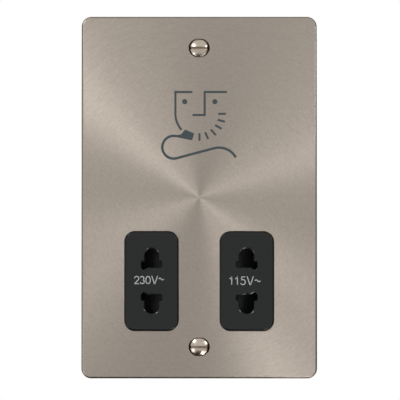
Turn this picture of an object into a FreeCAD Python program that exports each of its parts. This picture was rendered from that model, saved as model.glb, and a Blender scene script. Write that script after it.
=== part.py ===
import FreeCAD, Part
import math
import os
import re

import Sketcher

# Dual-voltage shaver socket for a flush two-gang wall box, in millimetres.
# +Z is up, +X is to the right seen from the front, +Y runs into the wall.
# The origin is the centre of the plane where the rim meets the wall.

os.makedirs("parts", exist_ok=True)
doc = FreeCAD.newDocument("ShaverSocket")

# Driving sizes, each a plain number in millimetres or degrees
SIZES = {
    # Front plate, pressed from flat sheet with a softened front edge
    "plate_width": 95.0,
    "plate_margin": 12.7,
    "plate_thickness": 2.0,
    "plate_corner": 4.0,
    "plate_edge": 0.5,
    # The two fixing screws, which pass the wall box's housing above and below
    "lug_clearance": 6.3,
    "fixing_web": 6.45,
    "fixing_slide": 1.2,
    "fixing_clearance": 0.35,
    "countersink_land": 0.25,
    "head_seat_gap": 0.3,
    "fixing_head_edge": 0.3,
    "fixing_head_dome": 0.9,
    "fixing_neck_radius": 1.5,
    "fixing_thread_radius": 1.75,
    "fixing_thread_length": 25.0,
    "fixing_slot_width": 0.95,
    "fixing_slot_depth": 1.2,
    "slot_overrun": 2.0,
    # Front moulding: the rim behind the plate and the platform inside the wall box
    "rim_depth": 2.5,
    "rim_inset": 2.0,
    "rim_corner": 2.5,
    "platform_depth": 0.8,
    "platform_margin": 0.6,
    # The two outlet inserts, which come through the plate and are trapped by a flange
    "outlet_width": 21.9,
    "outlet_height": 40.1,
    "outlet_corner": 3.7,
    "outlet_proud": 0.5,
    "outlet_edge": 0.6,
    "outlet_gap": 0.2,
    "flange_reach": 1.5,
    "flange_gap": 0.1,
    # Pin holes, measured from the middle of an outlet
    "hole_start": 5.6,
    "round_hole_radius": 2.8,
    "round_hole_reach": 13.0,
    "blade_hole_width": 8.2,
    "blade_hole_height": 2.2,
    "slant_hole_length": 7.0,
    "slant_hole_width": 2.2,
    "slant_hole_centre": 6.9,
    "slant_hole_angle": 30.0,
    "hole_funnel": 0.5,
    # Shutter chamber behind the outlet inserts
    "chamber_recess": 1.5,
    "chamber_wall": 1.5,
    "running_gap": 0.25,
    "spring_block_width": 9.0,
    "spring_block_height": 8.4,
    "spring_bore_radius": 2.2,
    "spring_bore_depth": 3.5,
    "spring_level": 1.7,
    "pilot_floor": 1.0,
    # Shutters, which slide towards the middle
    "shutter_overlap": 2.5,
    "shutter_depth": 7.2,
    "shutter_outer_reach": 4.4,
    "shutter_inner_reach": 6.5,
    "shutter_lip": 0.8,
    "shutter_land": 2.2,
    "shutter_travel": 8.0,
    "stop_gap": 0.2,
    "cam_rise": 1.0,
    "cam_margin": 0.8,
    "cam_height": 9.0,
    "relief_depth": 3.0,
    "relief_width": 4.2,
    "relief_height": 6.4,
    "relief_wall": 1.0,
    # Shutter springs
    "spring_wire": 0.5,
    "spring_radius": 1.6,
    "spring_turns": 6.0,
    "spring_end_gap": 0.05,
    # Contact carrier
    "carrier_depth": 11.3,
    "carrier_floor": 1.5,
    "carrier_web": 1.2,
    "chamber_width": 8.0,
    "pin_chamber_inner_margin": 0.7,
    "pin_chamber_outer_margin": 1.3,
    "carrier_screw_offset": 11.5,
    "carrier_screw_seat": 3.6,
    "carrier_screw_grip": 5.0,
    "carrier_post_radius": 2.6,
    "carrier_screw_radius": 1.2,
    "carrier_screw_head_radius": 2.1,
    "carrier_screw_head_height": 1.3,
    "thread_gap": 0.05,
    "screw_clearance": 0.3,
    # Contacts, bent from strip
    "contact_strip": 0.5,
    "contact_width": 6.0,
    "contact_wall_gap": 0.35,
    "contact_throat": 3.2,
    "contact_length": 8.3,
    "contact_bow": 3.0,
    "tail_width": 2.0,
    "tail_length": 4.8,
    "tail_gap": 0.35,
    # Microswitches
    "switch_length": 12.8,
    "switch_depth": 6.5,
    "switch_height": 5.8,
    "switch_gap": 0.15,
    "tag_width": 0.6,
    "tag_height": 2.4,
    "tag_length": 3.6,
    "tag_pitch": 4.6,
    "plunger_width": 2.0,
    "plunger_height": 2.6,
    "plunger_length": 4.6,
    "plunger_round": 0.9,
    "plunger_gap": 0.1,
    "plunger_slot_gap": 0.2,
    # Transformer core, windings and bobbin
    "core_width": 54.0,
    "core_height": 45.0,
    "core_limb": 9.0,
    "core_stack": 19.0,
    "limb_gap": 0.3,
    "bobbin_wall": 1.0,
    "bobbin_flange": 1.2,
    "bobbin_reach": 8.2,
    "bobbin_end_gap": 0.3,
    "winding_inset": 0.6,
    "winding_corner": 4.0,
    "winding_gap": 0.05,
    "cutout_width": 15.0,
    "cutout_height": 4.6,
    "cutout_depth": 8.0,
    # Rear housing, and the room it leaves round the mechanism and the transformer
    "housing_wall": 2.0,
    "housing_corner": 4.0,
    "housing_edge": 1.5,
    "skirt_end_space": 0.95,
    "skirt_side_space": 5.65,
    "wiring_space": 18.55,
    "core_top_space": 5.0,
    "core_side_space": 4.0,
    "bobbin_space": 0.6,
    "tail_space": 4.5,
    "core_rib": 1.6,
    "core_rib_inset": 4.0,
    "core_rib_gap": 0.25,
    "shelf_grip": 2.0,
    "boss_inset": 4.0,
    "boss_depth": 8.0,
    "boss_radius": 2.6,
    "tube_radius": 3.1,
    "well_radius": 2.3,
    "well_floor": 2.0,
    "seat_gap": 0.2,
    "housing_screw_radius": 1.25,
    "housing_screw_head_radius": 2.0,
    "housing_screw_head_height": 1.8,
    "housing_screw_length": 9.0,
    "screw_slot_width": 0.8,
    "screw_slot_depth": 0.9,
    # Terminal bay at the back, terminals and earth strap
    "bay_rise": 3.8,
    "block_side_gap": 2.0,
    "block_top_gap": 1.0,
    "cable_space": 12.5,
    "block_cover": 4.0,
    "block_wall": 2.0,
    "block_end_wall": 3.9,
    "block_lower_wall": 2.5,
    "block_floor": 3.0,
    "terminal_recess": 2.0,
    "terminal_pitch": 14.0,
    "terminal_width": 8.0,
    "terminal_height": 10.0,
    "terminal_depth": 9.0,
    "terminal_gap": 0.1,
    "wire_hole_radius": 1.9,
    "wire_entry_radius": 2.3,
    "terminal_screw_radius": 1.5,
    "terminal_screw_length": 6.5,
    "terminal_screw_head_radius": 2.6,
    "terminal_screw_head_height": 2.0,
    "strap_width": 5.0,
    "strap_thickness": 0.8,
    "strap_tab": 6.0,
    "strap_clearance": 5.0,
    "strap_gap": 0.4,
}

# Places worked out from the driving sizes; y values are depths behind the wall plane
PLACES = {
    # Depths, from the front to the back
    "plate_front": "-rim_depth - plate_thickness",
    "outlet_front": "plate_front - outlet_proud",
    "chamber_front": "-chamber_recess",
    "shutter_front": "chamber_front + running_gap",
    "shutter_back": "shutter_front + shutter_depth",
    "carrier_front": "shutter_back + running_gap",
    "carrier_back": "carrier_front + carrier_depth",
    "switch_front": "carrier_front + carrier_web",
    "contact_back": "carrier_back - carrier_floor - contact_wall_gap",
    "contact_front": "contact_back - contact_length",
    "cam_slope": "cam_rise / shutter_travel",
    "cam_start": "cam_margin - shutter_outer_reach",
    "switch_offset": "cam_start + cam_margin / 2 + shutter_travel",
    "plunger_tip": "shutter_back - cam_slope * (switch_offset - cam_start) + plunger_gap",
    # Terminal block, built up round its terminals
    "block_width": "2 * (terminal_pitch + terminal_width / 2 + terminal_gap + block_end_wall)",
    "block_height": "block_wall + terminal_height + block_lower_wall",
    "block_depth": "block_floor + terminal_depth + terminal_recess",
    "bay_width": "block_width + 2 * block_side_gap",
    "bay_height": "block_height + block_top_gap + cable_space",
    "bay_depth": "block_depth + block_cover",
    # Transformer, built up round its core
    "window_height": "core_height - 2 * core_limb",
    "tube_width": "2 * (core_limb + limb_gap + bobbin_wall)",
    "tube_depth": "core_stack + 2 * (limb_gap + bobbin_wall)",
    "bobbin_width": "core_width - 2 * core_limb - 2 * limb_gap",
    "bobbin_depth": "tube_depth + 2 * bobbin_reach",
    "bobbin_height": "window_height - 2 * bobbin_end_gap",
    "section_height": "(bobbin_height - 3 * bobbin_flange) / 2",
    # Shutter chamber, wide and high enough for both shutters
    "outlet_x": "spring_block_width / 2 + stop_gap + shutter_travel + shutter_inner_reach",
    "shutter_height": "2 * (round_hole_reach + shutter_overlap)",
    "chamber_half_height": "shutter_height / 2 + running_gap",
    "chamber_half_width": "outlet_x + shutter_outer_reach + running_gap",
    "skirt_width": "2 * (chamber_half_width + chamber_wall)",
    "skirt_height": "2 * (chamber_half_height + chamber_wall)",
    "pin_chamber_start": "hole_start - pin_chamber_inner_margin",
    "pin_chamber_end": "round_hole_reach + pin_chamber_outer_margin",
    # Rear housing, round the shutter chamber, the transformer and the terminal bay
    "skirt_room": "skirt_width + 2 * skirt_side_space",
    "core_room": "core_width + 2 * core_side_space",
    "bay_reach": "carrier_back + tail_space + housing_wall + bay_depth",
    "bobbin_back": "platform_depth + bobbin_depth + 2 * bobbin_space + housing_wall",
    "stack_height": "skirt_height + wiring_space + core_height",
    "housing_width": "max(skirt_room; core_room) + 2 * housing_wall",
    "housing_height": "stack_height + skirt_end_space + core_top_space + 2 * housing_wall",
    "housing_depth": "max(bay_reach; bobbin_back)",
    "inner_back": "housing_depth - housing_wall",
    "boss_x": "housing_width / 2 - boss_inset",
    "boss_z": "housing_height / 2 - boss_inset",
    "outlet_z": "housing_wall + skirt_end_space + (skirt_height - housing_height) / 2",
    "core_level": "(housing_height - core_height) / 2 - housing_wall - core_top_space",
    "core_depth": "(platform_depth + inner_back) / 2",
    "core_front": "core_depth - core_stack / 2",
    "core_back": "core_depth + core_stack / 2",
    "core_side": "housing_width / 2 - housing_wall - core_width / 2",
    "core_rib_offset": "(core_width - core_limb) / 2",
    # Terminal bay and earth strap
    "bay_floor": "housing_depth - bay_depth",
    "bay_level": "outlet_z + bay_rise",
    "bay_top": "bay_level + bay_height / 2",
    "block_top": "bay_top - block_top_gap",
    "block_level": "block_top - block_height / 2",
    "terminal_top": "block_top - block_wall",
    "terminal_level": "terminal_top - terminal_height / 2",
    "terminal_front": "bay_floor + block_floor",
    "terminal_back": "terminal_front + terminal_depth",
    "strap_depth": "terminal_front + terminal_depth / 2",
    "strap_foot": "max(bay_top + housing_wall; outlet_z + skirt_height / 2)",
    "strap_level": "strap_foot + strap_clearance",
    # Fixing screws and the height of the plate
    "fixing_z": "max(housing_height / 2 + lug_clearance; outlet_height / 2 - outlet_z + fixing_web)",
    "plate_height": "2 * (fixing_z + plate_margin)",
    "fixing_hole_radius": "fixing_thread_radius + fixing_clearance",
    "countersink": "plate_thickness - countersink_land",
    "fixing_head_radius": "fixing_hole_radius + countersink - head_seat_gap",
}

OWNER = {name: "Sizes." for name in SIZES} | {name: "Places." for name in PLACES}


def bound(text):
    """Name the sheet of every alias in a formula."""
    return re.sub(r"[a-z][a-z_]+", lambda word: OWNER.get(word.group(), "") + word.group(), text)


def fill_sheets():
    sizes = doc.addObject("Spreadsheet::Sheet", "Sizes")
    for row, (name, value) in enumerate(SIZES.items(), start=1):
        sizes.set(f"A{row}", name)
        sizes.set(f"B{row}", str(value))
        sizes.setAlias(f"B{row}", name)
    places = doc.addObject("Spreadsheet::Sheet", "Places")
    for row, (name, formula) in enumerate(PLACES.items(), start=1):
        places.set(f"A{row}", name)
        places.setAlias(f"B{row}", name)
        places.set(f"B{row}", "=" + bound(formula).replace("Places.", ""))
    doc.recompute()
    return sizes


sheet = fill_sheets()


def value(text):
    return float(sheet.evalExpression(bound(text)))


# Sketches: every point is held by a dimension that is bound to the sheets
def make_body(label):
    body = doc.addObject("PartDesign::Body", label)
    body.Label = label
    return body


def place(body, x="0", y="0", z="0", turned=False):
    """Place a body; turned swings it half a turn about the depth axis."""
    if turned:
        body.Placement.Rotation = FreeCAD.Rotation(FreeCAD.Vector(0, 1, 0), 180)
    for axis, text in (("x", x), ("y", y), ("z", z)):
        body.setExpression(f"Placement.Base.{axis}", bound(text))


def origin_plane(body, role):
    return next(item for item in body.Origin.OriginFeatures if item.Role == role)


def sketch_on(body, role, level="0"):
    """A sketch on an origin plane: XZ at a depth y, XY at a height z, YZ at a side x."""
    sketch = body.newObject("Sketcher::SketchObject", body.Label + "_sketch")
    sketch.AttachmentSupport = (origin_plane(body, role), [""])
    sketch.MapMode = "FlatFace"
    lift = f"-({level})" if role == "XZ_Plane" else level
    sketch.setExpression("AttachmentOffset.Base.z", bound(lift))
    return sketch


def hold_point(sketch, geometry, position, x, y):
    """Tie one point of a sketch to its place."""
    for kind, axis, text in (("DistanceX", -2, x), ("DistanceY", -1, y)):
        if text == "0":
            sketch.addConstraint(Sketcher.Constraint("PointOnObject", geometry, position, axis))
        else:
            rule = Sketcher.Constraint(kind, -1, 1, geometry, position, value(text))
            number = sketch.addConstraint(rule)
            sketch.setExpression(f"Constraints[{number}]", bound(text))


def hold_radius(sketch, geometry, radius):
    number = sketch.addConstraint(Sketcher.Constraint("Radius", geometry, value(radius)))
    sketch.setExpression(f"Constraints[{number}]", bound(radius))


def outline(sketch, points):
    """A closed outline of straight edges."""
    corners = [FreeCAD.Vector(value(x), value(y), 0) for x, y in points]
    first = sketch.GeometryCount
    count = len(corners)
    for index in range(count):
        edge = Part.LineSegment(corners[index], corners[(index + 1) % count])
        sketch.addGeometry(edge, False)
    for index in range(count):
        after = first + (index + 1) % count
        sketch.addConstraint(Sketcher.Constraint("Coincident", first + index, 2, after, 1))
    for index, (x, y) in enumerate(points):
        hold_point(sketch, first + index, 1, x, y)


def rectangle(sketch, x, y, width, height):
    left = f"{x} - ({width}) / 2"
    right = f"{x} + ({width}) / 2"
    low = f"{y} - ({height}) / 2"
    high = f"{y} + ({height}) / 2"
    outline(sketch, [(left, low), (right, low), (right, high), (left, high)])


def circle(sketch, x, y, radius):
    number = sketch.GeometryCount
    centre = FreeCAD.Vector(value(x), value(y), 0)
    sketch.addGeometry(Part.Circle(centre, FreeCAD.Vector(0, 0, 1), value(radius)), False)
    hold_point(sketch, number, 3, x, y)
    hold_radius(sketch, number, radius)


def arc_at(centre, radius, start, end):
    round_edge = Part.Circle(centre, FreeCAD.Vector(0, 0, 1), radius)
    return Part.ArcOfCircle(round_edge, math.radians(start), math.radians(end))


def join_smoothly(sketch, first, count):
    """Run each edge of a loop into the next without a corner, all arcs of one radius."""
    for index in range(count):
        after = first + (index + 1) % count
        sketch.addConstraint(Sketcher.Constraint("Tangent", first + index, 2, after, 1))
    for arc in range(first + 3, first + count, 2):
        sketch.addConstraint(Sketcher.Constraint("Equal", first + 1, arc))


def rounded_rectangle(sketch, x, y, width, height, radius):
    across = value(width) / 2 - value(radius)
    along = value(height) / 2 - value(radius)
    round_by = value(radius)
    middle = FreeCAD.Vector(value(x), value(y), 0)
    first = sketch.GeometryCount
    corners = ((1, -1, 270), (1, 1, 0), (-1, 1, 90), (-1, -1, 180))
    previous = middle + FreeCAD.Vector(-across, -along - round_by, 0)
    for side, end, start in corners:
        centre = middle + FreeCAD.Vector(side * across, end * along, 0)
        arc = arc_at(centre, round_by, start, start + 90)
        sketch.addGeometry(Part.LineSegment(previous, arc.StartPoint), False)
        sketch.addGeometry(arc, False)
        previous = arc.EndPoint
    join_smoothly(sketch, first, 8)
    for edge, kind in ((0, "Horizontal"), (2, "Vertical"), (4, "Horizontal"), (6, "Vertical")):
        sketch.addConstraint(Sketcher.Constraint(kind, first + edge))
    hold_radius(sketch, first + 1, radius)
    reach_x = f"(({width}) / 2 - ({radius}))"
    reach_y = f"(({height}) / 2 - ({radius}))"
    hold_point(sketch, first + 3, 3, f"{x} + {reach_x}", f"{y} + {reach_y}")
    hold_point(sketch, first + 7, 3, f"{x} - {reach_x}", f"{y} - {reach_y}")


def slot(sketch, start, end, radius):
    """A round-ended slot between two centres."""
    first = sketch.GeometryCount
    near = FreeCAD.Vector(value(start[0]), value(start[1]), 0)
    far = FreeCAD.Vector(value(end[0]), value(end[1]), 0)
    heading = math.degrees(math.atan2(far.y - near.y, far.x - near.x))
    far_arc = arc_at(far, value(radius), heading - 90, heading + 90)
    near_arc = arc_at(near, value(radius), heading + 90, heading + 270)
    sketch.addGeometry(Part.LineSegment(near_arc.EndPoint, far_arc.StartPoint), False)
    sketch.addGeometry(far_arc, False)
    sketch.addGeometry(Part.LineSegment(far_arc.EndPoint, near_arc.StartPoint), False)
    sketch.addGeometry(near_arc, False)
    join_smoothly(sketch, first, 4)
    hold_radius(sketch, first + 1, radius)
    hold_point(sketch, first + 1, 3, *end)
    hold_point(sketch, first + 3, 3, *start)


# Features: lengths are bound to the sheets, and every cut must remove material
def pad(body, sketch, length, turned=False, both_ways=False, taper=None):
    feature = body.newObject("PartDesign::Pad", body.Label + "_pad")
    return finish_extrusion(body, feature, sketch, length, turned, both_ways, taper)


def pocket(body, sketch, length, turned=False, both_ways=False, taper=None):
    before = body.Shape.Volume
    feature = body.newObject("PartDesign::Pocket", body.Label + "_pocket")
    finish_extrusion(body, feature, sketch, length, turned, both_ways, taper)
    if feature.Shape.Volume > before - 1e-6:
        raise RuntimeError(f"a pocket in {body.Label} cuts nothing")
    return feature


def finish_extrusion(body, feature, sketch, length, turned, both_ways, taper):
    feature.Profile = sketch
    feature.SideType = "Symmetric" if both_ways else "One side"
    feature.Reversed = turned
    feature.setExpression("Length", bound(length))
    if taper is not None:
        feature.TaperAngle = taper
    doc.recompute()
    return feature


def edges_where(body, test):
    return [f"Edge{number}" for number, edge in enumerate(body.Shape.Edges, start=1) if test(edge)]


def lies_at_depth(edge, depth):
    box = edge.BoundBox
    return abs(box.YMin - depth) < 1e-4 and abs(box.YMax - depth) < 1e-4


def soften(body, kind, size, test):
    """Round or chamfer the edges that pass a test."""
    base = body.Tip
    names = edges_where(body, test)
    feature = body.newObject("PartDesign::" + kind, f"{body.Label}_{kind.lower()}")
    feature.Base = (base, names)
    name = "Radius" if kind == "Fillet" else "Size"
    feature.setExpression(name, bound(size))
    doc.recompute()
    return feature


# Front plate and its screws
def make_front_plate():
    body = make_body("front_plate")
    face = sketch_on(body, "XZ_Plane", "plate_front")
    rounded_rectangle(face, "0", "0", "plate_width", "plate_height", "plate_corner")
    pad(body, face, "plate_thickness", turned=True)
    soften(body, "Chamfer", "plate_edge", lambda edge: lies_at_depth(edge, value("plate_front")))
    openings = sketch_on(body, "XZ_Plane", "plate_front")
    for side in ("-", ""):
        insert_outline(openings, f"{side}outlet_x", "outlet_z", "outlet_gap")
    pocket(body, openings, "plate_thickness")
    holes = sketch_on(body, "XZ_Plane", "plate_front")
    fixing_slots(holes)
    pocket(body, holes, "plate_thickness")
    soften(body, "Chamfer", "countersink", at_fixing_front)
    return body


def fixing_slots(sketch):
    for side in ("-", ""):
        height = f"{side}fixing_z"
        slot(
            sketch,
            ("-fixing_slide / 2", height),
            ("fixing_slide / 2", height),
            "fixing_hole_radius",
        )


def at_fixing_front(edge):
    offset = abs(abs(edge.CenterOfMass.z) - value("fixing_z"))
    near_hole = offset < value("fixing_hole_radius + plate_edge")
    return near_hole and lies_at_depth(edge, value("plate_front"))


def make_fixing_screws():
    body = make_body("fixing_screws")
    half = sketch_on(body, "XY_Plane", "fixing_z")
    seat = "plate_front + fixing_head_edge"
    neck = f"{seat} + fixing_head_radius - fixing_neck_radius"
    thread = "platform_depth"
    tip = f"{thread} + fixing_thread_length"
    points = [
        ("0", f"{seat} - fixing_head_dome"),
        ("0", tip),
        ("fixing_thread_radius", tip),
        ("fixing_thread_radius", thread),
        ("fixing_neck_radius", thread),
        ("fixing_neck_radius", neck),
        ("fixing_head_radius", seat),
    ]
    domed_outline(half, points)
    turn = body.newObject("PartDesign::Revolution", "fixing_screw_turning")
    turn.Profile = half
    turn.ReferenceAxis = (half, ["V_Axis"])
    turn.Angle = 360
    doc.recompute()
    cut = sketch_on(body, "XZ_Plane", f"{seat} - fixing_head_dome")
    slot_length = "2 * fixing_head_radius + slot_overrun"
    rectangle(cut, "0", "fixing_z", slot_length, "fixing_slot_width")
    slot_cut = pocket(body, cut, "fixing_slot_depth")
    twin = body.newObject("PartDesign::Mirrored", "second_fixing_screw")
    twin.Originals = [turn, slot_cut]
    twin.MirrorPlane = (origin_plane(body, "XY_Plane"), [""])
    body.Tip = twin
    doc.recompute()
    return body


def domed_outline(sketch, points):
    """A half section whose last edge, back to the first point, is a dome on the axis."""
    corners = [FreeCAD.Vector(value(x), value(y), 0) for x, y in points]
    for start, end in zip(corners, corners[1:]):
        sketch.addGeometry(Part.LineSegment(start, end), False)
    top = corners[0]
    rim = corners[-1]
    rise = abs(rim.y - top.y)
    radius = (rim.x * rim.x + rise * rise) / (2 * rise)
    centre = FreeCAD.Vector(0, top.y + radius, 0)
    rim_angle = math.degrees(math.atan2(rim.y - centre.y, rim.x))
    sketch.addGeometry(arc_at(centre, radius, -90, rim_angle), False)
    dome = len(points) - 1
    for index in range(dome - 1):
        sketch.addConstraint(Sketcher.Constraint("Coincident", index, 2, index + 1, 1))
    sketch.addConstraint(Sketcher.Constraint("Coincident", dome - 1, 2, dome, 2))
    sketch.addConstraint(Sketcher.Constraint("Coincident", dome, 1, 0, 1))
    sketch.addConstraint(Sketcher.Constraint("PointOnObject", dome, 3, -2))
    for index, (x, y) in enumerate(points[:-1]):
        hold_point(sketch, index, 1, x, y)
    hold_point(sketch, dome - 1, 2, *points[-1])


# Front moulding
def make_front_moulding():
    body = make_body("front_moulding")
    rim = sketch_on(body, "XZ_Plane", "-rim_depth")
    rim_width = "plate_width - 2 * rim_inset"
    rim_height = "plate_height - 2 * rim_inset"
    rounded_rectangle(rim, "0", "0", rim_width, rim_height, "rim_corner")
    pad(body, rim, "rim_depth", turned=True)
    add_platform_and_chamber(body)
    sink_insert_seats(body)
    add_spring_block(body)
    add_moulding_posts(body)
    cut_fixing_holes(body)
    return body


def insert_outline(sketch, x, z, grow):
    """The outline of an outlet insert, larger by grow all round."""
    width = f"outlet_width + 2 * ({grow})"
    height = f"outlet_height + 2 * ({grow})"
    rounded_rectangle(sketch, x, z, width, height, f"outlet_corner + {grow}")


def sink_insert_seats(body):
    """Sink a seat for the flange of each insert; where it crosses the chamber it goes through."""
    seats = sketch_on(body, "XZ_Plane", "-rim_depth")
    for side in ("-", ""):
        insert_outline(seats, f"{side}outlet_x", "outlet_z", "flange_reach + flange_gap")
    pocket(body, seats, "rim_depth + chamber_front")


def add_platform_and_chamber(body):
    platform = sketch_on(body, "XZ_Plane")
    rounded_rectangle(
        platform,
        "0",
        "0",
        "housing_width + 2 * platform_margin",
        "housing_height + 2 * platform_margin",
        "housing_corner + platform_margin",
    )
    pad(body, platform, "platform_depth", turned=True)
    walls = sketch_on(body, "XZ_Plane")
    rounded_rectangle(walls, "0", "outlet_z", "skirt_width", "skirt_height", "chamber_wall")
    pad(body, walls, "carrier_front", turned=True)
    inside = sketch_on(body, "XZ_Plane", "carrier_front")
    rectangle(inside, "0", "outlet_z", "2 * chamber_half_width", "2 * chamber_half_height")
    pocket(body, inside, "carrier_front - chamber_front", turned=True)


def add_spring_block(body):
    block = sketch_on(body, "XZ_Plane", "chamber_front")
    rectangle(block, "0", "outlet_z", "spring_block_width", "spring_block_height")
    for side in ("-", "+"):
        circle(block, "0", f"outlet_z {side} carrier_screw_offset", "carrier_post_radius")
    pad(body, block, "carrier_front - chamber_front", turned=True)
    pilots = sketch_on(body, "XZ_Plane", "carrier_front")
    for side in ("-", "+"):
        radius = "carrier_screw_radius + thread_gap"
        circle(pilots, "0", f"outlet_z {side} carrier_screw_offset", radius)
    pocket(body, pilots, "carrier_front - chamber_front - pilot_floor", turned=True)
    for side, turned in (("", False), ("-", True)):
        bore = sketch_on(body, "YZ_Plane", f"{side}spring_block_width / 2")
        circle(bore, "spring_level", "outlet_z", "spring_bore_radius")
        pocket(body, bore, "spring_bore_depth", turned=turned)


def four_corners():
    return [(f"{side}boss_x", f"{end}boss_z") for side in ("-", "") for end in ("-", "")]


def add_moulding_posts(body):
    posts = sketch_on(body, "XZ_Plane")
    for x, z in four_corners():
        circle(posts, x, z, "boss_radius")
    pad(body, posts, "boss_depth", turned=True)
    groove = sketch_on(body, "XZ_Plane", "boss_depth")
    rectangle(groove, "0", "0", "housing_width", "housing_height")
    inner_width = "housing_width - 2 * housing_wall - 2 * seat_gap"
    inner_height = "housing_height - 2 * housing_wall - 2 * seat_gap"
    inner_corner = "housing_corner - housing_wall"
    rounded_rectangle(groove, "0", "0", inner_width, inner_height, inner_corner)
    pocket(body, groove, "boss_depth - platform_depth", turned=True)
    pilots = sketch_on(body, "XZ_Plane", "boss_depth")
    for x, z in four_corners():
        circle(pilots, x, z, "housing_screw_radius + thread_gap")
    pocket(body, pilots, "boss_depth", turned=True)
    ribs = sketch_on(body, "XZ_Plane")
    for side in ("-", ""):
        upright_core_rib(ribs, side)
    pad(body, ribs, "core_front - core_rib_gap", turned=True)


def upright_core_rib(sketch, side):
    """A rib that faces one outer leg of the transformer's core."""
    height = "core_height - 2 * core_rib_inset"
    rectangle(sketch, f"{side}core_rib_offset", "core_level", "core_rib", height)


def cut_fixing_holes(body):
    holes = sketch_on(body, "XZ_Plane", "-rim_depth")
    fixing_slots(holes)
    pocket(body, holes, "rim_depth")
    strap = sketch_on(body, "XZ_Plane", "-rim_depth")
    rectangle(
        strap,
        "terminal_pitch",
        "strap_level + strap_tab / 2",
        "strap_width + 2 * strap_gap",
        "strap_tab + 2 * strap_gap",
    )
    pocket(body, strap, "strap_thickness")
    passage = sketch_on(body, "XZ_Plane", "-rim_depth")
    rectangle(
        passage,
        "terminal_pitch",
        "strap_level + strap_thickness / 2",
        "strap_width + 2 * strap_gap",
        "strap_thickness + 2 * strap_gap",
    )
    pocket(body, passage, "rim_depth + platform_depth")


# Outlet inserts: a raised face with two groups of pin holes, on a flange behind the plate
def make_outlet_insert(label, side):
    body = make_body(label)
    face = sketch_on(body, "XZ_Plane", "outlet_front")
    insert_outline(face, "0", "0", "0")
    pad(body, face, "chamber_front - outlet_front", turned=True)
    soften(body, "Chamfer", "outlet_edge", lambda edge: lies_at_depth(edge, value("outlet_front")))
    flange = sketch_on(body, "XZ_Plane", "-rim_depth")
    insert_outline(flange, "0", "0", "flange_reach")
    pad(body, flange, "rim_depth + chamber_front", turned=True)
    cut_pin_holes(body)
    place(body, x=f"{side}outlet_x", z="outlet_z")
    return body


def cut_pin_holes(body):
    """Cut the upper group of holes, then mirror it below."""
    shapes = []
    for depth, grow, taper in (
        ("chamber_front - outlet_front", "", None),
        ("hole_funnel", " + hole_funnel", -45.0),
    ):
        for draw in (draw_round_hole, draw_blade_hole, draw_slant_hole):
            hole = sketch_on(body, "XZ_Plane", "outlet_front")
            draw(hole, grow)
            shapes.append(pocket(body, hole, depth, taper=taper))
    below = body.newObject("PartDesign::Mirrored", "lower_holes")
    below.Originals = shapes
    below.MirrorPlane = (origin_plane(body, "XY_Plane"), [""])
    body.Tip = below
    doc.recompute()


def draw_round_hole(sketch, grow):
    low = "hole_start + round_hole_radius"
    high = "round_hole_reach - round_hole_radius"
    slot(sketch, ("0", low), ("0", high), f"round_hole_radius{grow}")


def draw_blade_hole(sketch, grow):
    middle = "hole_start + blade_hole_height / 2"
    width = f"blade_hole_width{grow}{grow}"
    rectangle(sketch, "0", middle, width, f"blade_hole_height{grow}{grow}")


def draw_slant_hole(sketch, grow):
    reach = "(slant_hole_length - slant_hole_width) / 2"
    across = f"{reach} * cos(slant_hole_angle)"
    rise = f"{reach} * sin(slant_hole_angle)"
    slot(
        sketch,
        (f"-{across}", f"slant_hole_centre - {rise}"),
        (across, f"slant_hole_centre + {rise}"),
        f"slant_hole_width / 2{grow}",
    )


# Shutters: one wedge across both pin holes, pushed towards the middle by the pins
def make_shutter(label, side, turned):
    body = make_body(label)
    profile = sketch_on(body, "XY_Plane")
    outline(
        profile,
        [
            ("-shutter_outer_reach", "shutter_back"),
            ("-shutter_outer_reach", "shutter_back - shutter_lip"),
            ("shutter_inner_reach - shutter_land", "shutter_front"),
            ("shutter_inner_reach", "shutter_front"),
            ("shutter_inner_reach", "shutter_back"),
        ],
    )
    pad(body, profile, "shutter_height", both_ways=True)
    cam = sketch_on(body, "XY_Plane")
    low = "shutter_back - cam_slope * (shutter_inner_reach - cam_start)"
    outline(
        cam,
        [
            ("cam_start", "shutter_back"),
            ("shutter_inner_reach", low),
            ("shutter_inner_reach", "shutter_back"),
        ],
    )
    pocket(body, cam, "cam_height", both_ways=True)
    relief = sketch_on(body, "XZ_Plane", "shutter_back")
    middle = "(hole_start + round_hole_reach) / 2"
    for end in ("-", ""):
        x = "shutter_inner_reach - relief_width / 2 - relief_wall"
        rectangle(relief, x, f"{end}{middle}", "relief_width", "relief_height")
    pocket(body, relief, "relief_depth", turned=True)
    bore = sketch_on(body, "YZ_Plane", "shutter_inner_reach")
    circle(bore, "spring_level", "0", "spring_bore_radius")
    pocket(body, bore, "spring_bore_depth")
    place(body, x=f"{side}outlet_x", z="outlet_z", turned=turned)
    return body


def make_shutter_spring(label, side, turned):
    """A coil from the bore in the middle block to the bore in the shutter."""
    spring = doc.addObject("Part::Feature", label)
    spring.Label = label
    free_space = "outlet_x - shutter_inner_reach - spring_block_width / 2 + 2 * spring_bore_depth"
    length = value(f"{free_space} - spring_wire - 2 * spring_end_gap")
    spring.Shape = coil(value("spring_radius"), value("spring_wire"), length)
    heading = FreeCAD.Vector(1 if turned else -1, 0, 0)
    spring.Placement.Rotation = FreeCAD.Rotation(FreeCAD.Vector(0, 0, 1), heading)
    start = f"{side}(spring_block_width / 2 - spring_bore_depth + spring_wire / 2 + spring_end_gap)"
    place(spring, x=start, y="spring_level", z="outlet_z")
    return spring


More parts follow.
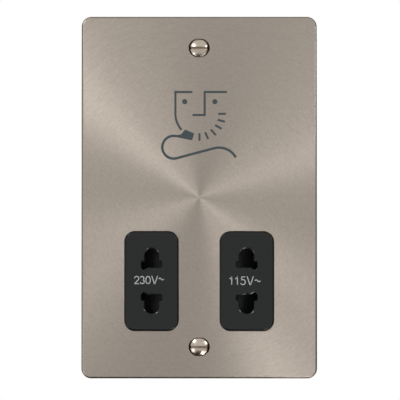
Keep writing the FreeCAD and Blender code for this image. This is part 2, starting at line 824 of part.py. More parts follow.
def coil(radius, wire, length):
    """A many-sided wire swept along a helix of short straight steps, up the z axis."""
    steps_per_turn = 12
    steps = round(value("spring_turns") * steps_per_turn)
    path = []
    for step in range(steps + 1):
        angle = 2 * math.pi * step / steps_per_turn
        height = length * step / steps
        path.append(FreeCAD.Vector(radius * math.cos(angle), radius * math.sin(angle), height))
    heading = (path[1] - path[0]).normalize()
    across = FreeCAD.Vector(0, 0, 1).cross(heading).normalize()
    along = heading.cross(across)
    sides = 5
    section = [
        path[0]
        + across * (wire / 2 * math.cos(2 * math.pi * side / sides))
        + along * (wire / 2 * math.sin(2 * math.pi * side / sides))
        for side in range(sides)
    ]
    profile = Part.makePolygon(section + section[:1])
    return Part.makePolygon(path).makePipeShell([profile], True, False, 1)


# Contact carrier, which closes the shutter chamber and holds contacts and switches
def make_contact_carrier():
    body = make_body("contact_carrier")
    block = sketch_on(body, "XZ_Plane", "carrier_front")
    rounded_rectangle(block, "0", "outlet_z", "skirt_width", "skirt_height", "chamber_wall")
    pad(body, block, "carrier_depth", turned=True)
    chambers = sketch_on(body, "XZ_Plane", "carrier_front")
    middle = "(pin_chamber_start + pin_chamber_end) / 2"
    height = "pin_chamber_end - pin_chamber_start"
    for side in ("-", ""):
        for end in ("-", "+"):
            z = f"outlet_z {end} {middle}"
            rectangle(chambers, f"{side}outlet_x", z, "chamber_width", height)
    pocket(body, chambers, "carrier_depth - carrier_floor")
    tails = sketch_on(body, "XZ_Plane", "carrier_back")
    tail_offset = "(pin_chamber_start + contact_wall_gap + contact_strip / 2)"
    for side in ("-", ""):
        for end in ("-", "+"):
            rectangle(
                tails,
                f"{side}outlet_x",
                f"outlet_z {end} {tail_offset}",
                "tail_width + 2 * tail_gap",
                "contact_strip + 2 * tail_gap",
            )
    pocket(body, tails, "carrier_floor", turned=True)
    seats = sketch_on(body, "XZ_Plane", "carrier_back")
    windows = sketch_on(body, "XZ_Plane", "carrier_front")
    for side in ("-", ""):
        x = f"{side}(outlet_x - switch_offset)"
        length = "switch_length + 2 * switch_gap"
        rectangle(seats, x, "outlet_z", length, "switch_height + 2 * switch_gap")
        width = "plunger_width + 2 * plunger_slot_gap"
        rectangle(windows, x, "outlet_z", width, "plunger_height + 2 * plunger_slot_gap")
    pocket(body, seats, "carrier_depth - carrier_web", turned=True)
    pocket(body, windows, "carrier_web")
    holes = sketch_on(body, "XZ_Plane", "carrier_front")
    for end in ("-", "+"):
        z = f"outlet_z {end} carrier_screw_offset"
        circle(holes, "0", z, "carrier_screw_radius + screw_clearance")
    pocket(body, holes, "carrier_depth")
    wells = sketch_on(body, "XZ_Plane", "carrier_back")
    for end in ("-", "+"):
        z = f"outlet_z {end} carrier_screw_offset"
        circle(wells, "0", z, "carrier_screw_head_radius + screw_clearance")
    pocket(body, wells, "carrier_depth - carrier_screw_seat", turned=True)
    return body


def add_headed_screws(body, centres, seat, length, shank, head_radius, head_height):
    """Cheese-head screws that point to the front, with the head behind its seat."""
    shanks = sketch_on(body, "XZ_Plane", seat)
    for x, z in centres:
        circle(shanks, x, z, shank)
    pad(body, shanks, length)
    heads = sketch_on(body, "XZ_Plane", seat)
    for x, z in centres:
        circle(heads, x, z, head_radius)
    pad(body, heads, head_height, turned=True)
    slots = sketch_on(body, "XZ_Plane", f"{seat} + {head_height}")
    for x, z in centres:
        rectangle(slots, x, z, f"2 * {head_radius} + slot_overrun", "screw_slot_width")
    pocket(body, slots, "screw_slot_depth", turned=True)


def make_carrier_screws():
    body = make_body("carrier_screws")
    centres = [("0", f"outlet_z {end} carrier_screw_offset") for end in ("-", "+")]
    add_headed_screws(
        body,
        centres,
        "carrier_front + carrier_screw_seat",
        "carrier_screw_seat + carrier_screw_grip",
        "carrier_screw_radius",
        "carrier_screw_head_radius",
        "carrier_screw_head_height",
    )
    return body


# Contacts: strip bent into two bowed leaves that pinch a pin
def make_contact(label, side, turned):
    body = make_body(label)
    profile = sketch_on(body, "YZ_Plane")
    bow = "contact_front + contact_bow"
    root = "contact_front + 2 * contact_bow"
    inner = "pin_chamber_start + contact_wall_gap"
    outer = "pin_chamber_end - contact_wall_gap"
    low_throat = f"({inner} + {outer} - contact_throat) / 2"
    high_throat = f"({inner} + {outer} + contact_throat) / 2"
    outline(
        profile,
        [
            ("contact_front", inner),
            (bow, f"{low_throat} - contact_strip"),
            (root, inner),
            ("contact_back", inner),
            ("contact_back", outer),
            (root, outer),
            (bow, f"{high_throat} + contact_strip"),
            ("contact_front", outer),
            ("contact_front", f"{outer} - contact_strip"),
            (bow, high_throat),
            (root, f"{outer} - contact_strip"),
            ("contact_back - contact_strip", f"{outer} - contact_strip"),
            ("contact_back - contact_strip", f"{inner} + contact_strip"),
            (root, f"{inner} + contact_strip"),
            (bow, low_throat),
            ("contact_front", f"{inner} + contact_strip"),
        ],
    )
    pad(body, profile, "contact_width", both_ways=True)
    tail = sketch_on(body, "XZ_Plane", "contact_back - contact_strip")
    rectangle(tail, "0", f"{inner} + contact_strip / 2", "tail_width", "contact_strip")
    pad(body, tail, "tail_length", turned=True)
    place(body, x=f"{side}outlet_x", z="outlet_z", turned=turned)
    return body


# Microswitches, worked by the cam on the back of each shutter
def make_microswitch(label, side):
    body = make_body(label)
    case = sketch_on(body, "XZ_Plane", "switch_front + switch_gap")
    rectangle(case, "0", "0", "switch_length", "switch_height")
    pad(body, case, "switch_depth", turned=True)
    tags = sketch_on(body, "XZ_Plane", "switch_front + switch_gap + switch_depth")
    for step in ("-", "0 *", ""):
        rectangle(tags, f"{step} tag_pitch", "0", "tag_width", "tag_height")
    pad(body, tags, "tag_length", turned=True)
    guide = sketch_on(body, "XZ_Plane", "switch_front + switch_gap")
    width = "plunger_width + 2 * plunger_slot_gap"
    rectangle(guide, "0", "0", width, "plunger_height + 2 * plunger_slot_gap")
    pocket(body, guide, "switch_depth - carrier_web")
    place(body, x=f"{side}(outlet_x - switch_offset)", z="outlet_z")
    return body


def make_switch_plunger(label, side):
    body = make_body(label)
    stem = sketch_on(body, "XZ_Plane", "plunger_tip")
    rectangle(stem, "0", "0", "plunger_width", "plunger_height")
    pad(body, stem, "plunger_length", turned=True)
    soften(body, "Fillet", "plunger_round", is_plunger_tip_edge)
    place(body, x=f"{side}(outlet_x - switch_offset)", z="outlet_z")
    return body


def is_plunger_tip_edge(edge):
    upright = edge.BoundBox.ZLength > value("plunger_height") / 2
    return upright and lies_at_depth(edge, value("plunger_tip"))


# Isolating transformer: a butt-jointed lamination core round a three-flange bobbin
def make_core_e_laminations():
    body = make_body("core_e_laminations")
    profile = sketch_on(body, "XZ_Plane", "core_front")
    top = "core_height / 2"
    window = "core_height / 2 - core_limb"
    foot = "core_limb - core_height / 2"
    edge = "core_width / 2"
    leg = "core_width / 2 - core_limb"
    outline(
        profile,
        [
            (f"-{edge}", top),
            (f"-{edge}", foot),
            (f"-({leg})", foot),
            (f"-({leg})", window),
            ("-core_limb", window),
            ("-core_limb", foot),
            ("core_limb", foot),
            ("core_limb", window),
            (leg, window),
            (leg, foot),
            (edge, foot),
            (edge, top),
        ],
    )
    pad(body, profile, "core_stack", turned=True)
    place(body, z="core_level")
    return body


def make_core_i_laminations():
    body = make_body("core_i_laminations")
    profile = sketch_on(body, "XZ_Plane", "core_front")
    rectangle(profile, "0", "(core_limb - core_height) / 2", "core_width", "core_limb")
    pad(body, profile, "core_stack", turned=True)
    place(body, z="core_level")
    return body


def make_bobbin():
    body = make_body("bobbin")
    tube = sketch_on(body, "XY_Plane", "core_level")
    rectangle(tube, "0", "core_depth", "tube_width", "tube_depth")
    pad(body, tube, "bobbin_height", both_ways=True)
    for level in ("-section_height - bobbin_flange", "0", "section_height + bobbin_flange"):
        flange = sketch_on(body, "XY_Plane", f"core_level + ({level})")
        rounded_rectangle(flange, "0", "core_depth", "bobbin_width", "bobbin_depth", "bobbin_wall")
        pad(body, flange, "bobbin_flange", both_ways=True)
    bore = sketch_on(body, "XY_Plane", "core_level")
    width = "2 * (core_limb + limb_gap)"
    rectangle(bore, "0", "core_depth", width, "core_stack + 2 * limb_gap")
    pocket(body, bore, "bobbin_height", both_ways=True)
    return body


def make_winding(label, end):
    body = make_body(label)
    middle = f"core_level {end} (section_height + bobbin_flange) / 2"
    coil = sketch_on(body, "XY_Plane", middle)
    width = "bobbin_width - 2 * winding_inset"
    depth = "bobbin_depth - 2 * winding_inset"
    rounded_rectangle(coil, "0", "core_depth", width, depth, "winding_corner")
    pad(body, coil, "section_height - 2 * winding_gap", both_ways=True)
    bore = sketch_on(body, "XY_Plane", middle)
    width = "tube_width + 2 * winding_gap"
    rectangle(bore, "0", "core_depth", width, "tube_depth + 2 * winding_gap")
    pocket(body, bore, "section_height", both_ways=True)
    return body


def make_thermal_cutout():
    body = make_body("thermal_cutout")
    case = sketch_on(body, "XY_Plane", "core_level - core_height / 2")
    rounded_rectangle(case, "0", "core_depth", "cutout_width", "cutout_depth", "bobbin_wall")
    pad(body, case, "cutout_height", turned=True)
    leads = sketch_on(body, "YZ_Plane", "cutout_width / 2")
    level = "core_level - core_height / 2 - cutout_height / 2"
    rectangle(leads, "core_depth", level, "tag_height", "tag_width")
    pad(body, leads, "tag_length")
    far_leads = sketch_on(body, "YZ_Plane", "-cutout_width / 2")
    rectangle(far_leads, "core_depth", level, "tag_height", "tag_width")
    pad(body, far_leads, "tag_length", turned=True)
    return body


# Rear housing: a deep shell with screw tubes, core ribs and a terminal bay
def make_rear_housing():
    body = make_body("rear_housing")
    outside = sketch_on(body, "XZ_Plane", "platform_depth")
    rounded_rectangle(outside, "0", "0", "housing_width", "housing_height", "housing_corner")
    pad(body, outside, "housing_depth - platform_depth", turned=True)
    soften(body, "Chamfer", "housing_edge", lambda edge: lies_at_depth(edge, value("housing_depth")))
    inside = sketch_on(body, "XZ_Plane", "platform_depth")
    rounded_rectangle(
        inside,
        "0",
        "0",
        "housing_width - 2 * housing_wall",
        "housing_height - 2 * housing_wall",
        "housing_corner - housing_wall",
    )
    pocket(body, inside, "inner_back - platform_depth")
    tubes = sketch_on(body, "XZ_Plane", "boss_depth")
    for x, z in four_corners():
        circle(tubes, x, z, "tube_radius")
    pad(body, tubes, "inner_back - boss_depth", turned=True)
    cut_screw_wells(body)
    add_core_ribs(body)
    add_terminal_bay(body)
    return body


def cut_screw_wells(body):
    wells = sketch_on(body, "XZ_Plane", "housing_depth")
    holes = sketch_on(body, "XZ_Plane", "boss_depth")
    for x, z in four_corners():
        circle(wells, x, z, "well_radius")
        circle(holes, x, z, "housing_screw_radius + screw_clearance")
    pocket(body, wells, "housing_depth - boss_depth - well_floor", turned=True)
    pocket(body, holes, "well_floor")


def add_core_ribs(body):
    ribs = sketch_on(body, "XZ_Plane", "core_back + core_rib_gap")
    for side in ("-", ""):
        upright_core_rib(ribs, side)
    pad(body, ribs, "inner_back - core_back - core_rib_gap", turned=True)
    reach = "(core_side - core_rib_gap)"
    guides = sketch_on(body, "XZ_Plane", "core_front")
    for side in ("-", ""):
        x = f"{side}(core_width / 2 + core_rib_gap + {reach} / 2)"
        for end in ("-", "+"):
            rectangle(guides, x, f"core_level {end} core_height / 4", reach, "core_rib")
    pad(body, guides, "inner_back - core_front", turned=True)
    shelf = sketch_on(body, "XZ_Plane", "core_front")
    level = "core_level - core_height / 2 - core_rib / 2 - core_rib_gap"
    width = "core_side + shelf_grip"
    for side in ("-", ""):
        x = f"{side}(core_width / 2 + (core_side - shelf_grip) / 2)"
        rectangle(shelf, x, level, width, "core_rib")
    pad(body, shelf, "inner_back - core_front", turned=True)


def add_terminal_bay(body):
    bay = sketch_on(body, "XZ_Plane", "bay_floor - housing_wall")
    width = "bay_width + 2 * housing_wall"
    rectangle(bay, "0", "bay_level", width, "bay_height + 2 * housing_wall")
    pad(body, bay, "bay_depth", turned=True)
    recess = sketch_on(body, "XZ_Plane", "housing_depth")
    rectangle(recess, "0", "bay_level", "bay_width", "bay_height")
    pocket(body, recess, "bay_depth", turned=True)
    passage = sketch_on(body, "XY_Plane", "bay_top + housing_wall")
    rectangle(
        passage,
        "terminal_pitch",
        "strap_depth",
        "strap_width + 2 * strap_gap",
        "strap_thickness + 2 * strap_gap",
    )
    pocket(body, passage, "housing_wall")


# Terminal block in the bay, with three clamped terminals
def terminal_places():
    return ["-terminal_pitch", "0", "terminal_pitch"]


def make_terminal_block():
    body = make_body("terminal_block")
    block = sketch_on(body, "XZ_Plane", "bay_floor")
    rectangle(block, "0", "block_level", "block_width", "block_height")
    pad(body, block, "block_depth", turned=True)
    seats = sketch_on(body, "XZ_Plane", "bay_floor + block_depth")
    for x in terminal_places():
        width = "terminal_width + 2 * terminal_gap"
        height = "terminal_height + 2 * terminal_gap"
        rectangle(seats, x, "terminal_level", width, height)
    pocket(body, seats, "block_depth - block_floor", turned=True)
    entries = sketch_on(body, "XY_Plane", "block_level - block_height / 2")
    for x in terminal_places():
        circle(entries, x, "strap_depth", "wire_entry_radius")
    pocket(body, entries, "block_wall + block_height / 2", turned=True)
    passage = sketch_on(body, "XY_Plane", "block_top")
    rectangle(
        passage,
        "terminal_pitch",
        "strap_depth",
        "strap_width + 2 * strap_gap",
        "strap_thickness + 2 * strap_gap",
    )
    pocket(body, passage, "block_wall")
    return body


def make_terminal(label, x):
    body = make_body(label)
    cage = sketch_on(body, "XZ_Plane", "terminal_front")
    rectangle(cage, x, "terminal_level", "terminal_width", "terminal_height")
    pad(body, cage, "terminal_depth", turned=True)
    wire = sketch_on(body, "XY_Plane", "terminal_top - terminal_height")
    circle(wire, x, "strap_depth", "wire_hole_radius")
    pocket(body, wire, "terminal_height - block_wall", turned=True)
    thread = sketch_on(body, "XZ_Plane", "terminal_back")
    circle(thread, x, "terminal_level", "terminal_screw_radius + thread_gap")
    pocket(body, thread, "terminal_depth / 2", turned=True)
    return body


def make_terminal_screws():
    body = make_body("terminal_screws")
    centres = [(x, "terminal_level") for x in terminal_places()]
    add_headed_screws(
        body,
        centres,
        "terminal_back + terminal_screw_length - terminal_depth / 2",
        "terminal_screw_length",
        "terminal_screw_radius",
        "terminal_screw_head_radius",
        "terminal_screw_head_height",
    )
    return body


def make_earth_strap():
    """Sheet strap from the back of the plate to the top of the earth terminal."""
    body = make_body("earth_strap")
    profile = sketch_on(body, "YZ_Plane", "terminal_pitch")
    back = "strap_depth + strap_thickness / 2"
    outline(
        profile,
        [
            ("-rim_depth", "strap_level"),
            ("-rim_depth", "strap_level + strap_tab"),
            ("-rim_depth + strap_thickness", "strap_level + strap_tab"),
            ("-rim_depth + strap_thickness", "strap_level + strap_thickness"),
            (back, "strap_level + strap_thickness"),
            (back, "terminal_top"),
            (f"{back} - strap_thickness", "terminal_top"),
            (f"{back} - strap_thickness", "strap_level"),
        ],
    )
    pad(body, profile, "strap_width", both_ways=True)
    return body


def make_housing_screws():
    body = make_body("housing_screws")
    add_headed_screws(
        body,
        four_corners(),
        "boss_depth + well_floor",
        "housing_screw_length",
        "housing_screw_radius",
        "housing_screw_head_radius",
        "housing_screw_head_height",
    )
    return body


# Everything is made, checked and written
def make_all():
    bodies = [make_front_plate(), make_fixing_screws(), make_front_moulding()]
    for name, side, turned in (("left", "-", False), ("right", "", True)):
        bodies.append(make_outlet_insert(f"{name}_outlet_insert", side))
        bodies.append(make_shutter(f"{name}_shutter", side, turned))
        bodies.append(make_shutter_spring(f"{name}_shutter_spring", side, turned))
        bodies.append(make_contact(f"{name}_upper_contact", side, False))
        bodies.append(make_contact(f"{name}_lower_contact", side, True))
        bodies.append(make_microswitch(f"{name}_microswitch", side))
        bodies.append(make_switch_plunger(f"{name}_switch_plunger", side))
    bodies += [make_contact_carrier(), make_carrier_screws()]
    bodies += [make_core_e_laminations(), make_core_i_laminations(), make_bobbin()]
    bodies += [make_winding("primary_winding", "-"), make_winding("secondary_winding", "+")]
    bodies += [make_thermal_cutout(), make_rear_housing(), make_housing_screws()]
    bodies += [make_terminal_block(), make_terminal_screws(), make_earth_strap()]
    for label, x in zip(("neutral", "live", "earth"), terminal_places()):
        bodies.append(make_terminal(f"{label}_terminal", x))
    return bodies


def main():
    bodies = make_all()
    doc.recompute()
    for item in doc.Objects:
        if "Invalid" in item.State or "Error" in item.State:
            raise RuntimeError(f"{item.Name} is {item.State}")
    for body in bodies:
        if body.Shape.isNull() or not body.Shape.isValid():
            raise RuntimeError(f"{body.Label} has no valid shape")
    for body in bodies:
        body.Shape.exportStep(f"parts/{body.Label}.step")
        box = body.Shape.BoundBox
        print(f"{body.Label}: {len(body.Shape.Solids)} solid, {body.Shape.Volume:.1f} mm3, {box}")


main()
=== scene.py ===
import math

import bpy
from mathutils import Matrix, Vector


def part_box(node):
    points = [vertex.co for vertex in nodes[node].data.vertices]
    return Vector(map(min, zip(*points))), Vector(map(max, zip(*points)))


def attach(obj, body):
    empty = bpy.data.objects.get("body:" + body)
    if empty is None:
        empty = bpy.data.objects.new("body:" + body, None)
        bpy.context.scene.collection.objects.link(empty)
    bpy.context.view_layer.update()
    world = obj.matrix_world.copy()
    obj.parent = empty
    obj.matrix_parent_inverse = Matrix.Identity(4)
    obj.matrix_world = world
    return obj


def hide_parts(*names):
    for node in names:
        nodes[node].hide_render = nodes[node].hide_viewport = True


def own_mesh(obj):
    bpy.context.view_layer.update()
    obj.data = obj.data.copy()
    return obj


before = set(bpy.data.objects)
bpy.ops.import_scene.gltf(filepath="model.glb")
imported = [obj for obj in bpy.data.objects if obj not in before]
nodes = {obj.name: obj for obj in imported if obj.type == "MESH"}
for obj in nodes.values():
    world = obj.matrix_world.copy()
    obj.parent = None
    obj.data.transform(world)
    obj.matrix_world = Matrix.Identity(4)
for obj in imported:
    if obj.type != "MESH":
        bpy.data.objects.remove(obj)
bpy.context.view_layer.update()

# Camera. The unit was photographed square on from a metre away, a little from below,
# with the plate filling nine tenths of the height of a square picture.
picture_width = 0.1613
camera_distance = 1.0
looking_up = math.radians(1.3)
camera_data = bpy.data.cameras.new("camera")
camera_data.lens = camera_data.sensor_width * camera_distance / picture_width
camera = bpy.data.objects.new("camera", camera_data)
bpy.context.scene.collection.objects.link(camera)
looked_at = Vector((0.00032, -0.0045, -0.0011))
line_of_sight = Vector((0.0, math.cos(looking_up), math.sin(looking_up)))
camera.location = looked_at - line_of_sight * camera_distance
camera.rotation_mode = "QUATERNION"
camera.rotation_quaternion = line_of_sight.to_track_quat("-Z", "Y")
bpy.context.scene.camera = camera
bpy.context.scene.view_settings.view_transform = "Standard"


# Studio. A white room over a pale round floor, soft boxes at the corners in front, a
# small one low down, and black flags round the sides, which only reflections see.
def set_sockets(tree, node, sockets):
    """Sets each named socket of a node, or joins it to another node's output."""
    for socket, given in sockets.items():
        if isinstance(given, bpy.types.NodeSocket):
            tree.links.new(given, node.inputs[socket])
        else:
            node.inputs[socket].default_value = given


def put(tree, kind, sockets=None, **options):
    """Adds a node with its options, and then sets its sockets."""
    node = tree.nodes.new(kind)
    for option, choice in options.items():
        setattr(node, option, choice)
    set_sockets(tree, node, sockets or {})
    return node


def start_material(name):
    """Starts a material and returns it with its node tree and its shader."""
    made = bpy.data.materials.new(name)
    made.use_nodes = True
    return made, made.node_tree, made.node_tree.nodes["Principled BSDF"]


def direct_view(tree):
    """One where the camera, a mirror or glass looks, and nought for soft light."""
    ray = put(tree, "ShaderNodeLightPath")
    seen = ray.outputs["Is Camera Ray"]
    for other in ("Is Glossy Ray", "Is Transmission Ray"):
        seen = put(tree, "ShaderNodeMath", {0: seen, 1: ray.outputs[other]}, operation="MAXIMUM")
        seen = seen.outputs["Value"]
    return seen


room_strength, paper_strength = 0.55, 1.0
white = (1, 1, 1, 1)
world = bpy.data.worlds.new("white_room")
bpy.context.scene.world = world
world.use_nodes = True
sky = world.node_tree
sky.nodes.clear()
room_light = put(sky, "ShaderNodeBackground", {"Color": white, "Strength": room_strength})
white_paper = put(sky, "ShaderNodeBackground", {"Color": white, "Strength": paper_strength})
lit_or_seen = put(
    sky,
    "ShaderNodeMixShader",
    {0: direct_view(sky), 1: room_light.outputs["Background"], 2: white_paper.outputs["Background"]},
)
put(sky, "ShaderNodeOutputWorld", {"Surface": lit_or_seen.outputs["Shader"]})


def face_the_plate(thing, turn, off_axis, reach):
    """Hangs a lamp or a flag off the plate's axis, in degrees, at a turn from the right."""
    outwards = math.sin(math.radians(off_axis))
    from_plate = Vector(
        (
            outwards * math.cos(math.radians(turn)),
            -math.cos(math.radians(off_axis)),
            outwards * math.sin(math.radians(turn)),
        )
    )
    thing.location = from_plate * reach
    thing.rotation_mode = "QUATERNION"
    thing.rotation_quaternion = (-from_plate).to_track_quat("-Z", "Y")


for lamp_name, turn, off_axis, reach, size, energy in (
    ("upper_left_box", 138, 44, 0.52, 0.09, 0.47),
    ("upper_right_box", 22, 49, 0.55, 0.10, 0.50),
    ("lower_left_box", 217, 46, 0.70, 0.12, 0.30),
    ("lower_right_box", 320, 50, 0.70, 0.06, 0.06),
    ("low_box", 293, 54, 0.30, 0.07, 0.17),
):
    lamp_data = bpy.data.lights.new(lamp_name, "AREA")
    lamp_data.shape = "DISK"
    lamp_data.size = size
    lamp_data.energy = energy
    lamp = bpy.data.objects.new(lamp_name, lamp_data)
    lamp.visible_camera = False
    bpy.context.scene.collection.objects.link(lamp)
    face_the_plate(lamp, turn, off_axis, reach)

floor_radius, floor_level, floor_glow = 0.85, -0.14, 0.35
bpy.ops.object.select_all(action="DESELECT")
bpy.ops.mesh.primitive_circle_add(
    vertices=96, radius=floor_radius, fill_type="NGON", location=(0, 0, floor_level)
)
floor = bpy.context.object
floor.name = "floor"
floor_paint, tree, shader = start_material("floor_paint")
tree.nodes.clear()
paint = put(tree, "ShaderNodeBsdfDiffuse", {"Color": (0.88, 0.88, 0.87, 1)})
lift = put(tree, "ShaderNodeMath", {0: direct_view(tree), 1: floor_glow}, operation="MULTIPLY")
glow = put(tree, "ShaderNodeEmission", {"Strength": lift.outputs["Value"]})
both = put(tree, "ShaderNodeAddShader", {0: paint.outputs["BSDF"], 1: glow.outputs["Emission"]})
put(tree, "ShaderNodeOutputMaterial", {"Surface": both.outputs["Shader"]})
floor.data.materials.append(floor_paint)
floor.visible_glossy = False
floor.visible_shadow = False

flag_cloth, tree, shader = start_material("flag_cloth")
set_sockets(
    tree, shader, {"Base Color": (0.01, 0.01, 0.01, 1), "Roughness": 1.0, "Specular IOR Level": 0.0}
)
for flag_name, turn, off_axis, reach, width, height in (
    ("front_flag", 270, 42, 0.90, 0.60, 0.40),
    ("low_flag", 270, 84, 0.36, 0.60, 0.56),
    ("right_flag", 0, 83, 0.40, 0.60, 0.60),
    ("left_flag", 180, 88, 0.60, 0.20, 0.60),
    ("high_flag", 90, 66, 0.60, 0.40, 0.10),
):
    bpy.ops.object.select_all(action="DESELECT")
    bpy.ops.mesh.primitive_plane_add(size=1)
    flag = bpy.context.object
    flag.name = flag_name
    flag.scale = (width, height, 1)
    face_the_plate(flag, turn, off_axis, reach)
    flag.data.materials.append(flag_cloth)
    flag.visible_camera = False
    flag.visible_diffuse = False
    flag.visible_shadow = False


# Front moulding. The rim behind the plate and the shutter housing behind that, moulded
# in one piece of black urea, with the fine dull skin that a spark-eroded mould leaves.
def new_group(name, wanted, given):
    """Starts a shared effect and returns it with its inputs and its output node."""
    group = bpy.data.node_groups.new(name, "ShaderNodeTree")
    for socket, kind, start in wanted:
        made = group.interface.new_socket(socket, in_out="INPUT", socket_type=kind)
        made.default_value = start
    for socket, kind in given:
        group.interface.new_socket(socket, in_out="OUTPUT", socket_type=kind)
    return group, put(group, "NodeGroupInput").outputs, put(group, "NodeGroupOutput")


def place_on_piece(tree):
    return put(tree, "ShaderNodeTexCoord").outputs["Object"]


def noise(tree, place, per_metre, detail=2.0, roughness=0.5):
    """A cloudy pattern, with so many clouds in a metre."""
    clouds = {"Vector": place, "Scale": per_metre, "Detail": detail, "Roughness": roughness}
    return put(tree, "ShaderNodeTexNoise", clouds).outputs["Fac"]


def two_tone(tree, mask, first, second):
    """Goes from one colour to another as a mask goes from nought to one."""
    tones = put(tree, "ShaderNodeMix", {"Factor": mask, "A": first, "B": second}, data_type="RGBA")
    return tones.outputs["Result"]


def stretch(tree, mask, low, high, to_low=0.0, to_high=1.0):
    """Spreads a mask's levels between low and high over another range."""
    levels = {"Value": mask, "From Min": low, "From Max": high, "To Min": to_low, "To Max": to_high}
    return put(tree, "ShaderNodeMapRange", levels).outputs["Result"]


def relief(tree, height, strength, depth):
    """Turns a height from nought to one into a relief of a depth in metres."""
    bump = put(tree, "ShaderNodeBump", {"Height": height, "Strength": strength, "Distance": depth})
    return bump.outputs["Normal"]


moulded_skin, wanted, given = new_group(
    "moulded_skin",
    (
        ("Pale", "NodeSocketColor", (0.5, 0.5, 0.5, 1)),
        ("Deep", "NodeSocketColor", (0.4, 0.4, 0.4, 1)),
        ("Grain", "NodeSocketFloat", 4000.0),
        ("Polished", "NodeSocketFloat", 0.35),
        ("Dull", "NodeSocketFloat", 0.5),
    ),
    (("Colour", "NodeSocketColor"), ("Roughness", "NodeSocketFloat"), ("Height", "NodeSocketFloat")),
)
place = place_on_piece(moulded_skin)
flow = noise(moulded_skin, place, 70.0, 4.0)
set_sockets(
    moulded_skin,
    given,
    {
        "Colour": two_tone(moulded_skin, flow, wanted["Pale"], wanted["Deep"]),
        "Roughness": stretch(moulded_skin, flow, 0.3, 0.7, wanted["Polished"], wanted["Dull"]),
        "Height": noise(moulded_skin, place, wanted["Grain"]),
    },
)


def moulding(name, pale, deep, grain=4000.0, dull=(0.35, 0.5), depth=0.00001, gloss=0.5, glow_in=0.0):
    """A moulded plastic: its own two colours, grain and dullness, over the shared skin."""
    made, tree, shader = start_material(name)
    levels = {
        "Pale": (*pale, 1),
        "Deep": (*deep, 1),
        "Grain": grain,
        "Polished": dull[0],
        "Dull": dull[1],
    }
    skin = put(tree, "ShaderNodeGroup", levels, node_tree=moulded_skin).outputs
    set_sockets(
        tree,
        shader,
        {
            "Base Color": skin["Colour"],
            "Roughness": skin["Roughness"],
            "Normal": relief(tree, skin["Height"], 0.5, depth),
            "Specular IOR Level": gloss,
        },
    )
    if glow_in:
        set_sockets(tree, shader, {"Subsurface Weight": glow_in, "Subsurface Scale": 0.002})
    return made


def dress(material, *names):
    """Gives CAD nodes that keep their shape a better material."""
    for name in names:
        nodes[name].data.materials.clear()
        nodes[name].data.materials.append(material)


black_urea = moulding(
    "black_urea", (0.011, 0.0112, 0.011), (0.008, 0.0082, 0.008), dull=(0.36, 0.46), gloss=0.3
)
dress(black_urea, "front_moulding")


# Outlet inserts. The two black faces that the plugs go into, moulded in urea with a
# flange round the foot that traps them behind the plate, and rounded at every edge.
def settle():
    """Puts the selected piece's place, turn and size into its mesh."""
    bpy.ops.object.transform_apply(location=True, rotation=True, scale=True)


def take_up(piece):
    """Makes a piece the only selected one, and the active one."""
    bpy.ops.object.select_all(action="DESELECT")
    bpy.context.view_layer.objects.active = piece
    piece.select_set(True)


def copy_of(piece, name):
    """Copies a piece, with a mesh of its own."""
    take_up(piece)
    bpy.ops.object.duplicate()
    bpy.context.object.name = name
    return bpy.context.object


def add_block(name, low, high):
    """A block between two corners, with its place in its mesh."""
    low, high = Vector(low), Vector(high)
    bpy.ops.object.select_all(action="DESELECT")
    bpy.ops.mesh.primitive_cube_add(size=1, location=(low + high) / 2, scale=high - low)
    block = bpy.context.object
    block.name = name
    settle()
    return block


def pick(piece, kind, test, sharp=None):
    """Selects in edit mode the faces, edges or points that pass a test on their place."""
    bpy.ops.mesh.select_mode(type=kind)
    bpy.ops.mesh.select_all(action="DESELECT")
    if sharp is not None:
        bpy.ops.mesh.edges_select_sharp(sharpness=math.radians(sharp))
    bpy.ops.object.mode_set(mode="OBJECT")
    mesh = piece.data
    found = [sharp is None or edge.select for edge in mesh.edges]
    for group in (mesh.vertices, mesh.edges, mesh.polygons):
        group.foreach_set("select", [False] * len(group))
    if kind == "FACE":
        for face in mesh.polygons:
            face.select = test(face.center, face.normal)
    elif kind == "EDGE":
        for edge, candidate in zip(mesh.edges, found):
            a, b = (mesh.vertices[end].co for end in edge.vertices)
            edge.select = candidate and test(a, b)
    else:
        for point in mesh.vertices:
            point.select = test(point.co)
    bpy.ops.object.mode_set(mode="EDIT")


def round_edges(piece, radius, steps, test, sharp=30):
    """Rounds the sharp edges that pass a test, as a tool or a mould leaves them."""
    take_up(piece)
    bpy.ops.object.mode_set(mode="EDIT")
    pick(piece, "EDGE", test, sharp=sharp)
    bpy.ops.mesh.bevel(offset=radius, segments=steps, affect="EDGES", clamp_overlap=True)
    bpy.ops.object.mode_set(mode="OBJECT")


def runs_inwards(a, b):
    """Tells the edges that go in towards the wall from those that lie along it."""
    return abs(a.y - b.y) > 0.0001


def cut_away(piece, *cutters):
    """Cuts each cutter out of a piece and throws the cutter away."""
    for cutter in cutters:
        cut = piece.modifiers.new("cut", "BOOLEAN")
        cut.operation = "DIFFERENCE"
        cut.solver = "EXACT"
        cut.object = cutter
        bpy.context.view_layer.objects.active = piece
        bpy.ops.object.modifier_apply(modifier=cut.name)
        bpy.data.objects.remove(cutter)


def draw_apart(piece, reach):
    """Moves the right half of a piece to the right, and the left half to the left."""
    bpy.ops.object.mode_set(mode="EDIT")
    for way in (-1, 1):
        pick(piece, "VERT", lambda point: point.x * way > 1e-6)
        bpy.ops.transform.translate(value=(way * reach, 0, 0))
    bpy.ops.object.mode_set(mode="OBJECT")


